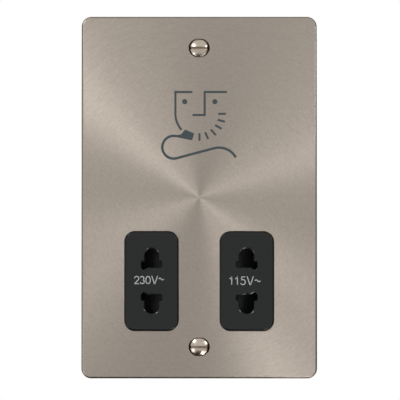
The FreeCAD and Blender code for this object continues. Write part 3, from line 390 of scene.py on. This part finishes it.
def add_slot_cutter(centre, length, width, angle, low, high, flare=0.0, square=False):
    """A cutter along Y, wider at the front by its flare, from a cone drawn apart."""
    corner = math.sqrt(2) if square else 1.0
    bpy.ops.object.select_all(action="DESELECT")
    bpy.ops.mesh.primitive_cone_add(
        vertices=4 if square else 48,
        radius1=corner * width / 2,
        radius2=corner * (width / 2 + flare),
        depth=high - low,
        rotation=(math.radians(90), math.radians(45 if square else 0), 0),
    )
    cutter = bpy.context.object
    settle()
    draw_apart(cutter, (length - width) / 2)
    if square:
        round_edges(cutter, 0.0004, 4, runs_inwards)
    cutter.rotation_euler = (0, -math.radians(angle), 0)
    cutter.location = (centre[0], (low + high) / 2, centre[1])
    settle()
    return cutter


def finish_shape(piece, angle=35):
    """Smooths rounded places and keeps flat faces flat."""
    tiny = 0.000004
    take_up(piece)
    bpy.ops.object.mode_set(mode="EDIT")
    bpy.ops.mesh.select_all(action="SELECT")
    bpy.ops.mesh.remove_doubles(threshold=tiny)
    bpy.ops.mesh.dissolve_degenerate(threshold=tiny)
    bpy.ops.mesh.select_all(action="SELECT")
    bpy.ops.mesh.delete_loose()
    bpy.ops.mesh.select_all(action="SELECT")
    bpy.ops.mesh.quads_convert_to_tris(quad_method="BEAUTY", ngon_method="BEAUTY")
    bpy.ops.object.mode_set(mode="OBJECT")
    bpy.ops.object.shade_smooth_by_angle(angle=math.radians(angle))
    flat, curved = set(), set()
    for face in piece.data.polygons:
        side = flat if abs(face.normal.y) > 0.9999 else curved
        side.update(face.edge_keys)
    for edge in piece.data.edges:
        if edge.key in flat and edge.key in curved:
            edge.use_edge_sharp = True
    flatter = piece.modifiers.new("flat_faces", "WEIGHTED_NORMAL")
    flatter.keep_sharp = True
    bpy.ops.object.modifier_apply(modifier=flatter.name)


def fit(piece, body, slot, material, *stands_for):
    """Gives a finished piece its material and body, and hides the CAD nodes that it stands for; its slot
    is not used.
    """
    piece.data.materials.clear()
    piece.data.materials.append(material)
    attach(piece, body)
    if stands_for:
        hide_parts(*stands_for)


outlet_x, outlet_z = 0.0192, -0.0338
face_front, face_back, flange_front = -0.0050, -0.0015, -0.0025
flange_half_width, flange_half_height, flange_corner, flange_ledge = 0.01226, 0.02142, 0.0056, 0.0015
hair = 0.00001  # how near to a level a point still counts as on it
clear = 0.002  # how far a cutter stands out of the sheet that it cuts
left_insert = add_block(
    "left_insert_face",
    (-outlet_x - flange_half_width, flange_front, outlet_z - flange_half_height),
    (-outlet_x + flange_half_width, face_back, outlet_z + flange_half_height),
)
round_edges(left_insert, flange_corner, 14, runs_inwards)
bpy.ops.object.mode_set(mode="EDIT")
pick(left_insert, "FACE", lambda middle, normal: normal.y < -0.9)
bpy.ops.mesh.inset(thickness=flange_ledge)
bpy.ops.mesh.extrude_region_move(TRANSFORM_OT_translate={"value": (0, face_front - flange_front, 0)})
bpy.ops.object.mode_set(mode="OBJECT")
round_edges(left_insert, 0.0006, 6, lambda a, b: max(a.y, b.y) < face_front + hair)


def cut_pin_hole(piece, across, level, length, width, angle, lead, square=False, inwards=0.0):
    """Cuts one slot through the face, with a lead-in round its mouth that steepens inwards."""
    turn = math.radians(angle)
    place = Vector((-outlet_x + across, outlet_z + level))
    lead_place = place + Vector((math.cos(turn), math.sin(turn))) * inwards
    slot = add_slot_cutter(
        place, length, width, angle, face_front - clear, face_back + clear, square=square
    )
    cut_away(piece, slot)
    # Each stage runs from its foot to its mouth, in parts of the lead-in's width, sinks by
    # its slope, and is cut from a different height over the face.
    for foot, mouth, slope, over in ((0.0, 0.62, 1.3, 0.0002), (0.5, 1.0, 0.45, 0.0003)):
        foot, mouth = foot * lead + hair, mouth * lead
        sink = (mouth - foot) * slope
        stage = add_slot_cutter(
            lead_place,
            length + 2 * foot,
            width + 2 * foot,
            angle,
            face_front - over,
            face_front + sink,
            (mouth - foot) * (1 + over / sink),
            square,
        )
        cut_away(piece, stage)


for end in (1, -1):
    cut_pin_hole(
        left_insert, across=0, level=end * 0.00923, length=0.00735, width=0.0054, angle=90, lead=0.0007
    )
    cut_pin_hole(
        left_insert, across=0, level=end * 0.0067, length=0.0083, width=0.0022, angle=0, lead=0.0005,
        square=True,
    )
    cut_pin_hole(
        left_insert, across=-0.0021, level=end * 0.00628, length=0.00445, width=0.0018,
        angle=end * 30, lead=0.0005, square=True, inwards=0.0004,
    )
finish_shape(left_insert, 20)
right_insert = copy_of(left_insert, "right_insert_face")
bpy.ops.transform.rotate(value=math.pi, orient_axis="Y", center_override=(0, 0, outlet_z))
settle()
insert_black = moulding(
    "insert_black", (0.0066, 0.0074, 0.0072), (0.0050, 0.0057, 0.0055), dull=(0.16, 0.22), gloss=0.27
)
fit(left_insert, "unit", "insert_face", insert_black, "left_outlet_insert")
fit(right_insert, "unit", "insert_face", insert_black, "right_outlet_insert")

# Front plate. A flat sheet of brass, nickel plated and brushed in circles about its
# middle, so that soft boxes show in it as fans of light, with its front edges eased.
plate_front, plate_back = -0.0045, -0.0025
plate_half_width, plate_half_height, plate_corner, plate_edge = 0.0475, 0.073, 0.004, 0.0008
window_half_width, window_half_height, window_corner, window_lip = 0.01086, 0.02001, 0.0042, 0.00025
plate = add_block(
    "brushed_plate",
    (-plate_half_width, plate_front, -plate_half_height),
    (plate_half_width, plate_back, plate_half_height),
)
round_edges(plate, plate_corner, 12, runs_inwards)


def at_front(a, b):
    return max(a.y, b.y) < plate_front + hair


round_edges(plate, plate_edge, 5, at_front)
for x in (-outlet_x, outlet_x):
    window = add_block(
        "window_cutter",
        (x - window_half_width, plate_front - clear, outlet_z - window_half_height),
        (x + window_half_width, plate_back + clear, outlet_z + window_half_height),
    )
    round_edges(window, window_corner, 14, runs_inwards)
    cut_away(plate, window)
screw_level = 0.0603
screw_area = 0.0055  # half the width of what belongs to a screw
hole_length, hole_width = 0.0054, 0.0042
sink_foot, sink_mouth, sink_depth, sink_proud, sink_lip = 0.0018, 0.00395, 0.0023, 0.00025, 0.0005
for level in (screw_level, -screw_level):
    bpy.ops.object.select_all(action="DESELECT")
    bpy.ops.mesh.primitive_cone_add(
        vertices=48,
        radius1=sink_foot,
        radius2=sink_mouth,
        depth=sink_depth,
        location=(0, 0, 0),
        rotation=(math.radians(90), 0, 0),
    )
    sink = bpy.context.object
    settle()
    draw_apart(sink, 0.0006)
    sink.location = (0, plate_front - sink_proud + sink_depth / 2, level)
    settle()
    cut_away(plate, sink, add_slot_cutter((0, level), hole_length, hole_width, 0, -0.007, 0.0))


def at_sink_mouth(a, b):
    return at_front(a, b) and abs(a.x) < screw_area and abs(a.z) > 0.055


def at_window_mouth(a, b):
    return at_front(a, b) and screw_area < abs(a.x) < 0.04 and abs(a.z) < 0.056


round_edges(plate, sink_lip, 4, at_sink_mouth, sharp=20)
round_edges(plate, window_lip, 3, at_window_mouth)
finish_shape(plate)
plate.data.use_auto_texspace = False
plate.data.texspace_location = (0, (plate_front + plate_back) / 2, 0)
plate.data.texspace_size = (0.08, 0.08, 0.08)

satin_nickel, tree, shader = start_material("satin_nickel")
place = place_on_piece(tree)
parts = put(tree, "ShaderNodeSeparateXYZ", {"Vector": place}).outputs
flat = put(tree, "ShaderNodeCombineXYZ", {"X": parts["X"], "Y": parts["Z"]}).outputs["Vector"]
reach = put(tree, "ShaderNodeVectorMath", {0: flat}, operation="LENGTH").outputs["Value"]
heading = put(tree, "ShaderNodeVectorMath", {0: flat}, operation="NORMALIZE").outputs["Vector"]
bearing = put(tree, "ShaderNodeSeparateXYZ", {"Vector": heading}).outputs


def brush_strokes(per_metre, round_the_plate, detail):
    """Noise drawn out along circles about the middle, as a rotary brush leaves it."""
    drawn_out = {}
    for axis, source, scale in (
        ("X", reach, per_metre),
        ("Y", bearing["X"], round_the_plate),
        ("Z", bearing["Y"], round_the_plate),
    ):
        scaled = put(tree, "ShaderNodeMath", {0: source, 1: scale}, operation="MULTIPLY")
        drawn_out[axis] = scaled.outputs["Value"]
    along = put(tree, "ShaderNodeCombineXYZ", drawn_out).outputs["Vector"]
    return noise(tree, along, 1.0, detail, 0.7)


# Painted shade: a colour darkened towards a dark brown wherever ambient occlusion finds corners, slots and
# recesses.
corner_shade, wanted, given = new_group(
    "corner_shade",
    (
        ("Clean", "NodeSocketColor", (0.5, 0.5, 0.5, 1)),
        ("Painted_Shade", "NodeSocketColor", (0.05, 0.03, 0.02, 1)),
        ("Reach", "NodeSocketFloat", 0.0008),
    ),
    (("Colour", "NodeSocketColor"),),
)
shelter = put(corner_shade, "ShaderNodeAmbientOcclusion", {"Distance": wanted["Reach"]}, samples=8)
open_air = stretch(corner_shade, shelter.outputs["AO"], 0.35, 0.85)
set_sockets(
    corner_shade, given, {"Colour": two_tone(corner_shade, open_air, wanted["Painted_Shade"], wanted["Clean"])}
)


def with_corner_shade(tree, clean, reach):
    """Paints shade into a clean colour in sheltered corners, out to a reach in metres."""
    levels = {"Clean": clean, "Painted_Shade": (0.045, 0.027, 0.017, 1), "Reach": reach}
    return put(tree, "ShaderNodeGroup", levels, node_tree=corner_shade).outputs["Colour"]


bristles = brush_strokes(6000.0, 5.0, 4.0)
broad_strokes = brush_strokes(1300.0, 16.0, 3.0)
clouds = noise(tree, place, 1500.0)
uneven = put(tree, "ShaderNodeMix", {"Factor": 0.45, "A": broad_strokes, "B": clouds}, data_type="FLOAT")
tint = two_tone(
    tree,
    stretch(tree, uneven.outputs["Result"], 0.3, 0.7),
    (0.318, 0.278, 0.239, 1),
    (0.415, 0.364, 0.315, 1),
)
round_the_middle = put(tree, "ShaderNodeTangent", direction_type="RADIAL", axis="Y")
# Its base colour has painted shade where the plate is sheltered, round the countersinks and along the
# insert edges.
set_sockets(
    tree,
    shader,
    {
        "Base Color": with_corner_shade(tree, tint, 0.0008),
        "Roughness": stretch(tree, broad_strokes, 0.3, 0.7, 0.36, 0.47),
        "Normal": relief(tree, bristles, 0.15, 0.00002),
        "Tangent": round_the_middle.outputs["Tangent"],
        "Metallic": 1.0,
        "Anisotropic": 0.85,
        "Anisotropic Rotation": 0.25,
    },
)
fit(plate, "unit", "plate_metal", satin_nickel, "front_plate")


def paint_faces(piece, material, test):
    """Gives the faces that pass a test on their middle and direction another finish."""
    piece.data.materials.append(material)
    for face in piece.data.polygons:
        if test(face.center, face.normal):
            face.material_index = len(piece.data.materials) - 1


# The steep parts of the eased edges and lips get a darker nickel, a painted dark reflection along the
# rounding.
painted_edge_reflection, tree, shader = start_material("painted_edge_reflection")
cloud = noise(tree, place_on_piece(tree), 900.0)
set_sockets(
    tree,
    shader,
    {
        "Base Color": two_tone(tree, cloud, (0.25, 0.212, 0.178, 1), (0.185, 0.155, 0.129, 1)),
        "Roughness": stretch(tree, cloud, 0.0, 1.0, 0.3, 0.42),
        "Metallic": 1.0,
    },
)
paint_faces(plate, painted_edge_reflection, lambda middle, normal: 0.1 < abs(normal.y) < 0.96)

# The countersinks' walls get a dark brown metal, painted shade in the recess round each screw head.
countersink_painted_shade, tree, shader = start_material("countersink_painted_shade")
cloud = noise(tree, place_on_piece(tree), 1200.0)
set_sockets(
    tree,
    shader,
    {
        "Base Color": two_tone(tree, cloud, (0.13, 0.085, 0.058, 1), (0.06, 0.038, 0.026, 1)),
        "Roughness": 0.35,
        "Metallic": 1.0,
    },
)


def in_countersink(middle, normal):
    near_screw = abs(middle.x) < screw_area and abs(abs(middle.z) - screw_level) < 0.005
    return near_screw and plate_front + 0.0001 < middle.y < plate_back - 0.0001


paint_faces(plate, countersink_painted_shade, in_countersink)


# Shaver symbol. The usual sign of a face, a shaver and its cord, in slate ink that is
# pad printed on the plate, a few hundredths of a millimetre thick.
def stroke_outline(path, width):
    """The outline of an even stroke along a path, with mitred corners."""
    path = [Vector(point) for point in path]
    sides = ([], [])
    for here, point in enumerate(path):
        before = (point - path[here - 1]).normalized() if here else None
        after = (path[here + 1] - point).normalized() if here + 1 < len(path) else None
        along = ((before or after) + (after or before)).normalized()
        square = Vector((-along.y, along.x))
        spread = width / 2 / max(0.3, along.dot(after or before))
        sides[0].append(point + square * spread)
        sides[1].append(point - square * spread)
    return sides[0] + sides[1][::-1]


def arc_points(centre, across, rise, start, end, steps):
    """Points along a round or oval arc, in degrees, anticlockwise from the right."""
    turns = [math.radians(start + (end - start) * step / steps) for step in range(steps + 1)]
    return [(centre[0] + across * math.cos(turn), centre[1] + rise * math.sin(turn)) for turn in turns]


ink_thickness = 0.00003


def print_shapes(name, outlines, level):
    """Lays flat inked shapes, given in millimetres, on the face at one level."""
    printed = []
    for number, outline in enumerate(outlines):
        shape = bpy.data.curves.new(f"{name}_{number}", "CURVE")
        shape.dimensions = "2D"
        shape.fill_mode = "BOTH"
        shape.extrude = ink_thickness / 2
        line = shape.splines.new("POLY")
        line.points.add(len(outline) - 1)
        for point, (x, z) in zip(line.points, outline):
            point.co = (x / 1000, z / 1000, 0, 1)
        line.use_cyclic_u = True
        flat_shape = bpy.data.objects.new(shape.name, shape)
        bpy.context.scene.collection.objects.link(flat_shape)
        printed.append(flat_shape)
    bpy.ops.object.select_all(action="DESELECT")
    for flat_shape in printed:
        flat_shape.select_set(True)
    bpy.context.view_layer.objects.active = printed[0]
    bpy.ops.object.convert(target="MESH")
    bpy.ops.object.join()
    bpy.ops.object.mode_set(mode="EDIT")
    bpy.ops.mesh.select_all(action="SELECT")
    bpy.ops.mesh.remove_doubles(threshold=0.000001)
    bpy.ops.mesh.normals_make_consistent(inside=False)
    bpy.ops.object.mode_set(mode="OBJECT")
    sign = bpy.context.object
    sign.name = name
    sign.rotation_euler = (math.radians(90), 0, 0)
    sign.location = (0, level - ink_thickness / 2, 0)
    settle()
    return sign


line_width, cord_width, eye_radius, half_dash = 0.84, 0.98, 1.05, 1.5
chin = (0.1, 33.7)
strokes = [
    [(-2.75, 42.5), (-9.6, 42.5), (-9.6, 33.7)] + arc_points(chin, 9.7, 9.7, 185, 222, 7),
    [(11.2, 42.5), (2.2, 42.5), (2.2, 33.2), (-2.7, 33.2)],
]
symbol = [stroke_outline(path, line_width) for path in strokes]
symbol += [arc_points(eye, eye_radius, eye_radius, 0, 345, 23) for eye in ((-5.85, 38.6), (6.3, 38.6))]
for x, z, lean in (
    (9.2, 33.7, 0),
    (8.9, 30.9, -15),
    (7.7, 28.4, -30),
    (5.7, 26.2, -48),
    (3.0, 24.9, -66),
    (0.1, 24.3, -90),
):
    along = Vector((math.cos(math.radians(lean)), math.sin(math.radians(lean)))) * half_dash
    symbol.append(stroke_outline([Vector((x, z)) - along, Vector((x, z)) + along], line_width))
symbol.append([(-5.7, 27.3), (-2.05, 25.8), (-2.85, 23.0), (-8.9, 24.2), (-8.9, 25.15), (-7.4, 25.3)])
cord = [(-8.8, 24.65), (-9.6, 24.75)] + arc_points((-10.3, 20.2), 4.6, 4.6, 90, 283, 20)
cord += [(5.8, 19.75)] + arc_points((8.0, 12.3), 7.75, 7.75, 104, 29, 10)
symbol.append(stroke_outline(cord, cord_width))
shaver_symbol = print_shapes("shaver_symbol", symbol, plate_front)
slate_ink = moulding(
    "slate_ink", (0.048, 0.064, 0.070), (0.040, 0.054, 0.060), 9000.0, (0.45, 0.6), gloss=0.3
)
fit(shaver_symbol, "unit", "plate_metal", slate_ink)

# Voltage figures. Plain figures in white ink, pad printed between the pin holes of each
# outlet, which say what the winding behind it gives.
white_ink = moulding("white_ink", (0.42, 0.44, 0.45), (0.36, 0.38, 0.39), 9000.0, (0.45, 0.6), gloss=0.3)
figure_strokes = {
    "0": [arc_points((0.5, 0.5), 0.5, 0.5, 90, 270, 12), arc_points((0.5, 0.5), 0.5, 0.5, 90, -90, 12)],
    "1": [[(0.68, 0), (0.68, 1.07)], [(0.75, 0.98), (0.0, 0.72)]],
    "2": [arc_points((0.5, 0.7), 0.48, 0.3, 175, -28, 10) + [(0.06, 0.04)], [(0, 0), (1, 0)]],
    "3": [
        arc_points((0.46, 0.755), 0.42, 0.245, 165, -85, 11),
        arc_points((0.46, 0.265), 0.52, 0.265, 88, -165, 12),
    ],
    "5": [[(0.95, 1), (0.22, 1), (0.08, 0.5)], arc_points((0.46, 0.33), 0.52, 0.33, 145, -160, 12)],
    "V": [[(0.0, 1.07), (0.47, -0.05)], [(1.0, 1.07), (0.53, -0.05)]],
    "~": [[(step / 12, 0.5 + 0.12 * math.sin(math.pi * step / 6)) for step in range(13)]],
}
figure_stroke = 0.36
half_stroke = figure_stroke / 2
for figures_name, foot, head, cells, wave_lift in (
    (
        "left_voltage_figures",
        -35.0,
        -31.7,
        (
            ("2", -26.3, -24.1),
            ("3", -23.9, -21.9),
            ("0", -21.7, -19.5),
            ("V", -19.3, -16.6),
            ("~", -16.5, -14.1),
        ),
        0.4,
    ),
    (
        "right_voltage_figures",
        -35.4,
        -31.9,
        (("1", 12.0, 13.7), ("1", 14.3, 16.0), ("5", 16.6, 18.8), ("V", 19.1, 22.0), ("~", 22.2, 24.8)),
        0.0,
    ),
):
    low, high = foot + half_stroke, head - half_stroke
    outlines = []
    for figure, left, right in cells:
        left, right = left + half_stroke, right - half_stroke
        lift = wave_lift if figure == "~" else 0.0
        for path in figure_strokes[figure]:
            placed = [(left + x * (right - left), low + lift + z * (high - low)) for x, z in path]
            outlines.append(stroke_outline(placed, figure_stroke))
    fit(print_shapes(figures_name, outlines, face_front), "unit", "insert_face", white_ink)

# Shutters. Two black acetal wedges behind the pin holes, pushed aside by the pins, and
# the drawn wire springs that bring them back over the holes.
shutter_black = moulding(
    "shutter_black", (0.022, 0.024, 0.023), (0.015, 0.017, 0.016), dull=(0.4, 0.5), gloss=0.4
)
dress(shutter_black, "left_shutter", "right_shutter")

worked_metal, wanted, given = new_group(
    "worked_metal",
    (
        ("Bright", "NodeSocketColor", (0.7, 0.7, 0.7, 1)),
        ("Stained", "NodeSocketColor", (0.5, 0.5, 0.5, 1)),
        ("Strokes", "NodeSocketVector", (3000.0, 3000.0, 3000.0)),
        ("Polished", "NodeSocketFloat", 0.2),
        ("Dull", "NodeSocketFloat", 0.4),
    ),
    (("Colour", "NodeSocketColor"), ("Roughness", "NodeSocketFloat"), ("Height", "NodeSocketFloat")),
)
place = place_on_piece(worked_metal)
drawn = put(worked_metal, "ShaderNodeVectorMath", {0: place, 1: wanted["Strokes"]}, operation="MULTIPLY")
lines = noise(worked_metal, drawn.outputs["Vector"], 1.0, 3.0)
stain = stretch(worked_metal, noise(worked_metal, place, 260.0, 3.0), 0.38, 0.68)
set_sockets(
    worked_metal,
    given,
    {
        "Colour": two_tone(worked_metal, stain, wanted["Bright"], wanted["Stained"]),
        "Roughness": stretch(worked_metal, lines, 0.3, 0.7, wanted["Polished"], wanted["Dull"]),
        "Height": lines,
    },
)


def metal(name, bright, stained, strokes=(3000, 3000, 3000), dull=(0.2, 0.4), depth=0.00001, shade_reach=0.0006):
    """A metal: its two colours, the way its strokes run, how dull it is, and how far painted shade reaches
    into its corners.
    """
    made, tree, shader = start_material(name)
    levels = {
        "Bright": (*bright, 1),
        "Stained": (*stained, 1),
        "Strokes": strokes,
        "Polished": dull[0],
        "Dull": dull[1],
    }
    face = put(tree, "ShaderNodeGroup", levels, node_tree=worked_metal).outputs
    set_sockets(
        tree,
        shader,
        {
            "Base Color": with_corner_shade(tree, face["Colour"], shade_reach),
            "Roughness": face["Roughness"],
            "Normal": relief(tree, face["Height"], 0.3, depth),
            "Metallic": 1.0,
        },
    )
    return made


spring_wire = metal("spring_wire", (0.5, 0.5, 0.52), (0.38, 0.37, 0.37), (900, 6000, 6000), (0.2, 0.35))


def wind_up(outline, axis, rise, turns, steps, sides):
    """Winds a closed outline into a coil along an axis, and closes the coil's two ends."""
    wind = outline.modifiers.new("wind", "SCREW")
    wind.axis = axis
    wind.screw_offset = rise
    wind.iterations = turns
    wind.steps = wind.render_steps = steps
    bpy.ops.object.modifier_apply(modifier=wind.name)
    bpy.ops.object.mode_set(mode="EDIT")
    bpy.ops.mesh.select_all(action="SELECT")
    bpy.ops.mesh.fill_holes(sides=sides)
    bpy.ops.mesh.select_all(action="SELECT")
    bpy.ops.mesh.normals_make_consistent(inside=False)
    bpy.ops.object.mode_set(mode="OBJECT")


def wind_spring(name, node, radius=0.0016, wire=0.0005, turns=6):
    """A coil of round wire where the CAD coil lies."""
    low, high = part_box(node)
    bpy.ops.object.select_all(action="DESELECT")
    bpy.ops.mesh.primitive_circle_add(
        vertices=10, radius=wire / 2, location=(0, 0, radius), rotation=(math.radians(90), 0, 0)
    )
    spring = bpy.context.object
    spring.name = name
    settle()
    wind_up(spring, "X", (high[0] - low[0] - wire) / turns, turns, 24, 10)
    spring.location = (low[0] + wire / 2, (low[1] + high[1]) / 2, (low[2] + high[2]) / 2)
    settle()
    bpy.ops.object.shade_smooth_by_angle(angle=math.radians(50))
    fit(spring, "unit", "spring_steel", spring_wire, node)
    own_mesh(spring)


wind_spring("left_coil_spring", "left_shutter_spring")
wind_spring("right_coil_spring", "right_shutter_spring")

# Contacts. Phosphor bronze strip, rolled and blanked, with each one bent into two bowed
# leaves that pinch a pin, and dropped into the carrier from the front.
rolled_bronze = metal(
    "rolled_bronze", (0.72, 0.45, 0.25), (0.55, 0.3, 0.16), (5000, 5000, 500), (0.25, 0.4)
)
dress(rolled_bronze, "left_upper_contact", "left_lower_contact")
dress(rolled_bronze, "right_upper_contact", "right_lower_contact")

# Microswitches. Bought-in sealed switches in black cases, with red acetal plungers that
# the cams on the shutters push in.
case_black = moulding("case_black", (0.02, 0.02, 0.022), (0.014, 0.014, 0.016), dull=(0.25, 0.35))
dress(case_black, "left_microswitch", "right_microswitch")
plunger_red = moulding("plunger_red", (0.5, 0.05, 0.03), (0.4, 0.035, 0.025), dull=(0.25, 0.35))
dress(plunger_red, "left_switch_plunger", "right_switch_plunger")

# Contact carrier. Natural nylon, moulded, and held to the front moulding by two zinc
# plated cheese-head screws.
nylon = moulding("natural_nylon", (0.74, 0.71, 0.62), (0.66, 0.62, 0.53), 2500.0, (0.4, 0.55), glow_in=0.1)
dress(nylon, "contact_carrier")
zinc = metal("zinc_plate", (0.68, 0.70, 0.72), (0.52, 0.52, 0.50), (2500, 2500, 2500), (0.22, 0.42))
dress(zinc, "carrier_screws")


# Transformer. A stack of half-millimetre silicon steel laminations, dipped in brown
# varnish, round a nylon bobbin with two windings under yellow tape.
def ribs(tree, place, scale, distortion, way):
    """Even ribs that follow each other along an axis, as sheets or turns of wire do."""
    levels = {"Vector": place, "Scale": scale, "Distortion": distortion}
    return put(tree, "ShaderNodeTexWave", levels, bands_direction=way).outputs["Fac"]


varnished_stack, tree, shader = start_material("varnished_laminations")
place = place_on_piece(tree)
varnish = noise(tree, place, 240.0, 4.0)
set_sockets(
    tree,
    shader,
    {
        "Base Color": two_tone(tree, varnish, (0.16, 0.13, 0.11, 1), (0.07, 0.045, 0.03, 1)),
        "Roughness": stretch(tree, varnish, 0.0, 1.0, 0.25, 0.5),
        "Normal": relief(tree, ribs(tree, place, 314.0, 0.3, "Y"), 0.6, 0.00008),
        "Metallic": 0.8,
    },
)
dress(varnished_stack, "core_e_laminations", "core_i_laminations")
bobbin_nylon = moulding("bobbin_nylon", (0.62, 0.60, 0.52), (0.54, 0.52, 0.44), 2500.0, (0.4, 0.55))
dress(bobbin_nylon, "bobbin")

enamelled_wire, tree, shader = start_material("enamelled_wire")
turns = ribs(tree, place_on_piece(tree), 785.0, 0.6, "Z")
set_sockets(
    tree,
    shader,
    {
        "Base Color": two_tone(tree, turns, (0.30, 0.09, 0.03, 1), (0.62, 0.22, 0.08, 1)),
        "Roughness": stretch(tree, turns, 0.0, 1.0, 0.35, 0.2),
        "Normal": relief(tree, turns, 0.8, 0.00006),
        "Metallic": 0.9,
    },
)
dress(enamelled_wire, "primary_winding", "secondary_winding")

# Thermal cutout. A small self-resetting cutout in a dark phenolic case, which lies
# against the core and opens the primary when it runs hot.
phenolic = moulding("brown_phenolic", (0.045, 0.025, 0.018), (0.03, 0.017, 0.012), dull=(0.3, 0.45))
dress(phenolic, "thermal_cutout")

# Rear housing. One deep box of light grey polycarbonate that closes the back, with the
# fine spark grain outside, and wells for the four screws that hold it.
housing_grey = moulding(
    "housing_grey", (0.60, 0.61, 0.60), (0.56, 0.57, 0.56), 3000.0, (0.42, 0.55), depth=0.00002
)
dress(housing_grey, "rear_housing")
dress(zinc, "housing_screws")

# Terminal block. White urea, moulded, in the bay at the back, with three brass
# terminals under slotted screws, and the tinned strap that earths the plate.
block_white = moulding("block_white", (0.74, 0.73, 0.69), (0.68, 0.67, 0.62), 3000.0, (0.3, 0.42))
dress(block_white, "terminal_block")
turned_brass = metal(
    "turned_brass", (0.74, 0.55, 0.24), (0.6, 0.42, 0.16), (6000, 6000, 1200), (0.2, 0.38)
)
dress(turned_brass, "neutral_terminal", "live_terminal", "earth_terminal")
dress(zinc, "terminal_screws")
tinned_strip = metal(
    "tinned_strip", (0.66, 0.64, 0.58), (0.52, 0.49, 0.43), (4500, 4500, 700), (0.28, 0.45)
)
dress(tinned_strip, "earth_strap")


# Fixing screws. Raised countersunk M3.5 screws, headed and slotted, with a rolled
# thread, in bright nickel, which go through the plate into the lugs of the wall box.
def turn_on_lathe(name, rings, sides, centre):
    """A closed turned solid along Y, drawn out ring by ring from (depth, radius) pairs."""
    x, z = centre
    bpy.ops.object.select_all(action="DESELECT")
    bpy.ops.mesh.primitive_circle_add(
        vertices=sides,
        radius=rings[0][1],
        fill_type="NGON",
        location=(x, rings[0][0], z),
        rotation=(math.radians(90), 0, 0),
    )
    piece = bpy.context.object
    piece.name = name
    settle()
    bpy.ops.object.mode_set(mode="EDIT")
    bpy.ops.mesh.select_all(action="SELECT")
    for (depth_before, radius_before), (depth, radius) in zip(rings, rings[1:]):
        bpy.ops.mesh.extrude_region_move(TRANSFORM_OT_translate={"value": (0, depth - depth_before, 0)})
        draw_in = radius / radius_before
        bpy.ops.transform.resize(value=(draw_in, 1, draw_in), center_override=(x, depth, z))
    bpy.ops.mesh.select_all(action="SELECT")
    bpy.ops.mesh.normals_make_consistent(inside=False)
    bpy.ops.object.mode_set(mode="OBJECT")
    return piece


def cut_thread(screw, first, pitch, turns, root, centre):
    """Winds a small ridge round the shank, one three-sided turn after another."""
    x, z = centre
    bpy.ops.object.select_all(action="DESELECT")
    bpy.ops.mesh.primitive_circle_add(vertices=3, radius=pitch * 0.56, rotation=(0, 0, math.radians(-90)))
    ridge = bpy.context.object
    settle()
    ridge.location = (root + pitch * 0.26, 0, 0)
    settle()
    wind_up(ridge, "Y", pitch, turns, 20, 4)
    ridge.location = (x, first, z)
    settle()
    screw.select_set(True)
    bpy.context.view_layer.objects.active = screw
    bpy.ops.object.join()


head_radius, head_rim, dome_rise = 0.00355, -0.0042, 0.0009
slot_half_width, slot_depth = 0.000475, 0.0012
slot_floor = head_rim - dome_rise + slot_depth
neck_radius, thread_start, thread_root, tip = 0.0015, 0.0009, 0.0014, 0.0258
dome_radius = (head_radius**2 + dome_rise**2) / (2 * dome_rise)
rings = [
    (tip, 0.0010),
    (0.0253, 0.00138),
    (thread_start, thread_root),
    (0.0006, neck_radius),
    (-0.00215, neck_radius),
    (head_rim + 0.00008, head_radius - 0.00006),
    (head_rim, head_radius),
]
for radius in (0.0035, 0.0033, 0.0030, 0.0026, 0.0021, 0.0015, 0.0009, 0.0003):
    sagitta = dome_radius - math.sqrt(dome_radius**2 - radius**2)
    rings.append((head_rim - dome_rise + sagitta, radius))
upper_screw = turn_on_lathe("upper_fixing_screw", rings, 64, (0, screw_level))
slot_cutter = add_block(
    "slot_cutter",
    (-0.0045, -0.006, screw_level - slot_half_width),
    (0.0045, slot_floor, screw_level + slot_half_width),
)
cut_away(upper_screw, slot_cutter)


def at_slot_rim(a, b):
    along_wall = all(abs(abs(end.z - screw_level) - slot_half_width) < 0.00002 for end in (a, b))
    return along_wall and max(a.y, b.y) < head_rim - 0.00002


def in_slot(middle, normal):
    between_walls = abs(abs(middle.z) - screw_level) < slot_half_width + 0.000005 and middle.y < -0.0030
    return between_walls and (abs(normal.z) > 0.5 or middle.y > slot_floor - 0.00002)


round_edges(upper_screw, 0.00016, 3, at_slot_rim)
cut_thread(upper_screw, thread_start, 0.0006, 40, thread_root, (0, screw_level))
finish_shape(upper_screw)
lower_screw = copy_of(upper_screw, "lower_fixing_screw")
bpy.ops.transform.translate(value=(0, 0, -2 * screw_level))
settle()
# The screw metals carry painted shade in the slot corners and between the turns of the thread.
bright_nickel = metal(
    "bright_nickel", (0.46, 0.395, 0.335), (0.36, 0.30, 0.25), (2500, 2500, 2500), (0.2, 0.27),
    depth=0.000002, shade_reach=0.00035,
)
# The slot gets a darker brown metal, painted shade in the recess across the head.
slot_painted_shade = metal("slot_painted_shade", (0.30, 0.235, 0.19), (0.2, 0.15, 0.115), (3000, 3000, 3000), (0.25, 0.4))
rolled_thread = metal(
    "rolled_thread", (0.50, 0.46, 0.42), (0.40, 0.36, 0.32), (3000, 900, 3000), (0.25, 0.35), shade_reach=0.00008
)
for screw in (upper_screw, lower_screw):
    fit(screw, "unit", "bright_screws", bright_nickel, "fixing_screws")
    paint_faces(screw, rolled_thread, lambda middle, normal: middle.y > 0)
    paint_faces(screw, slot_painted_shade, in_slot)
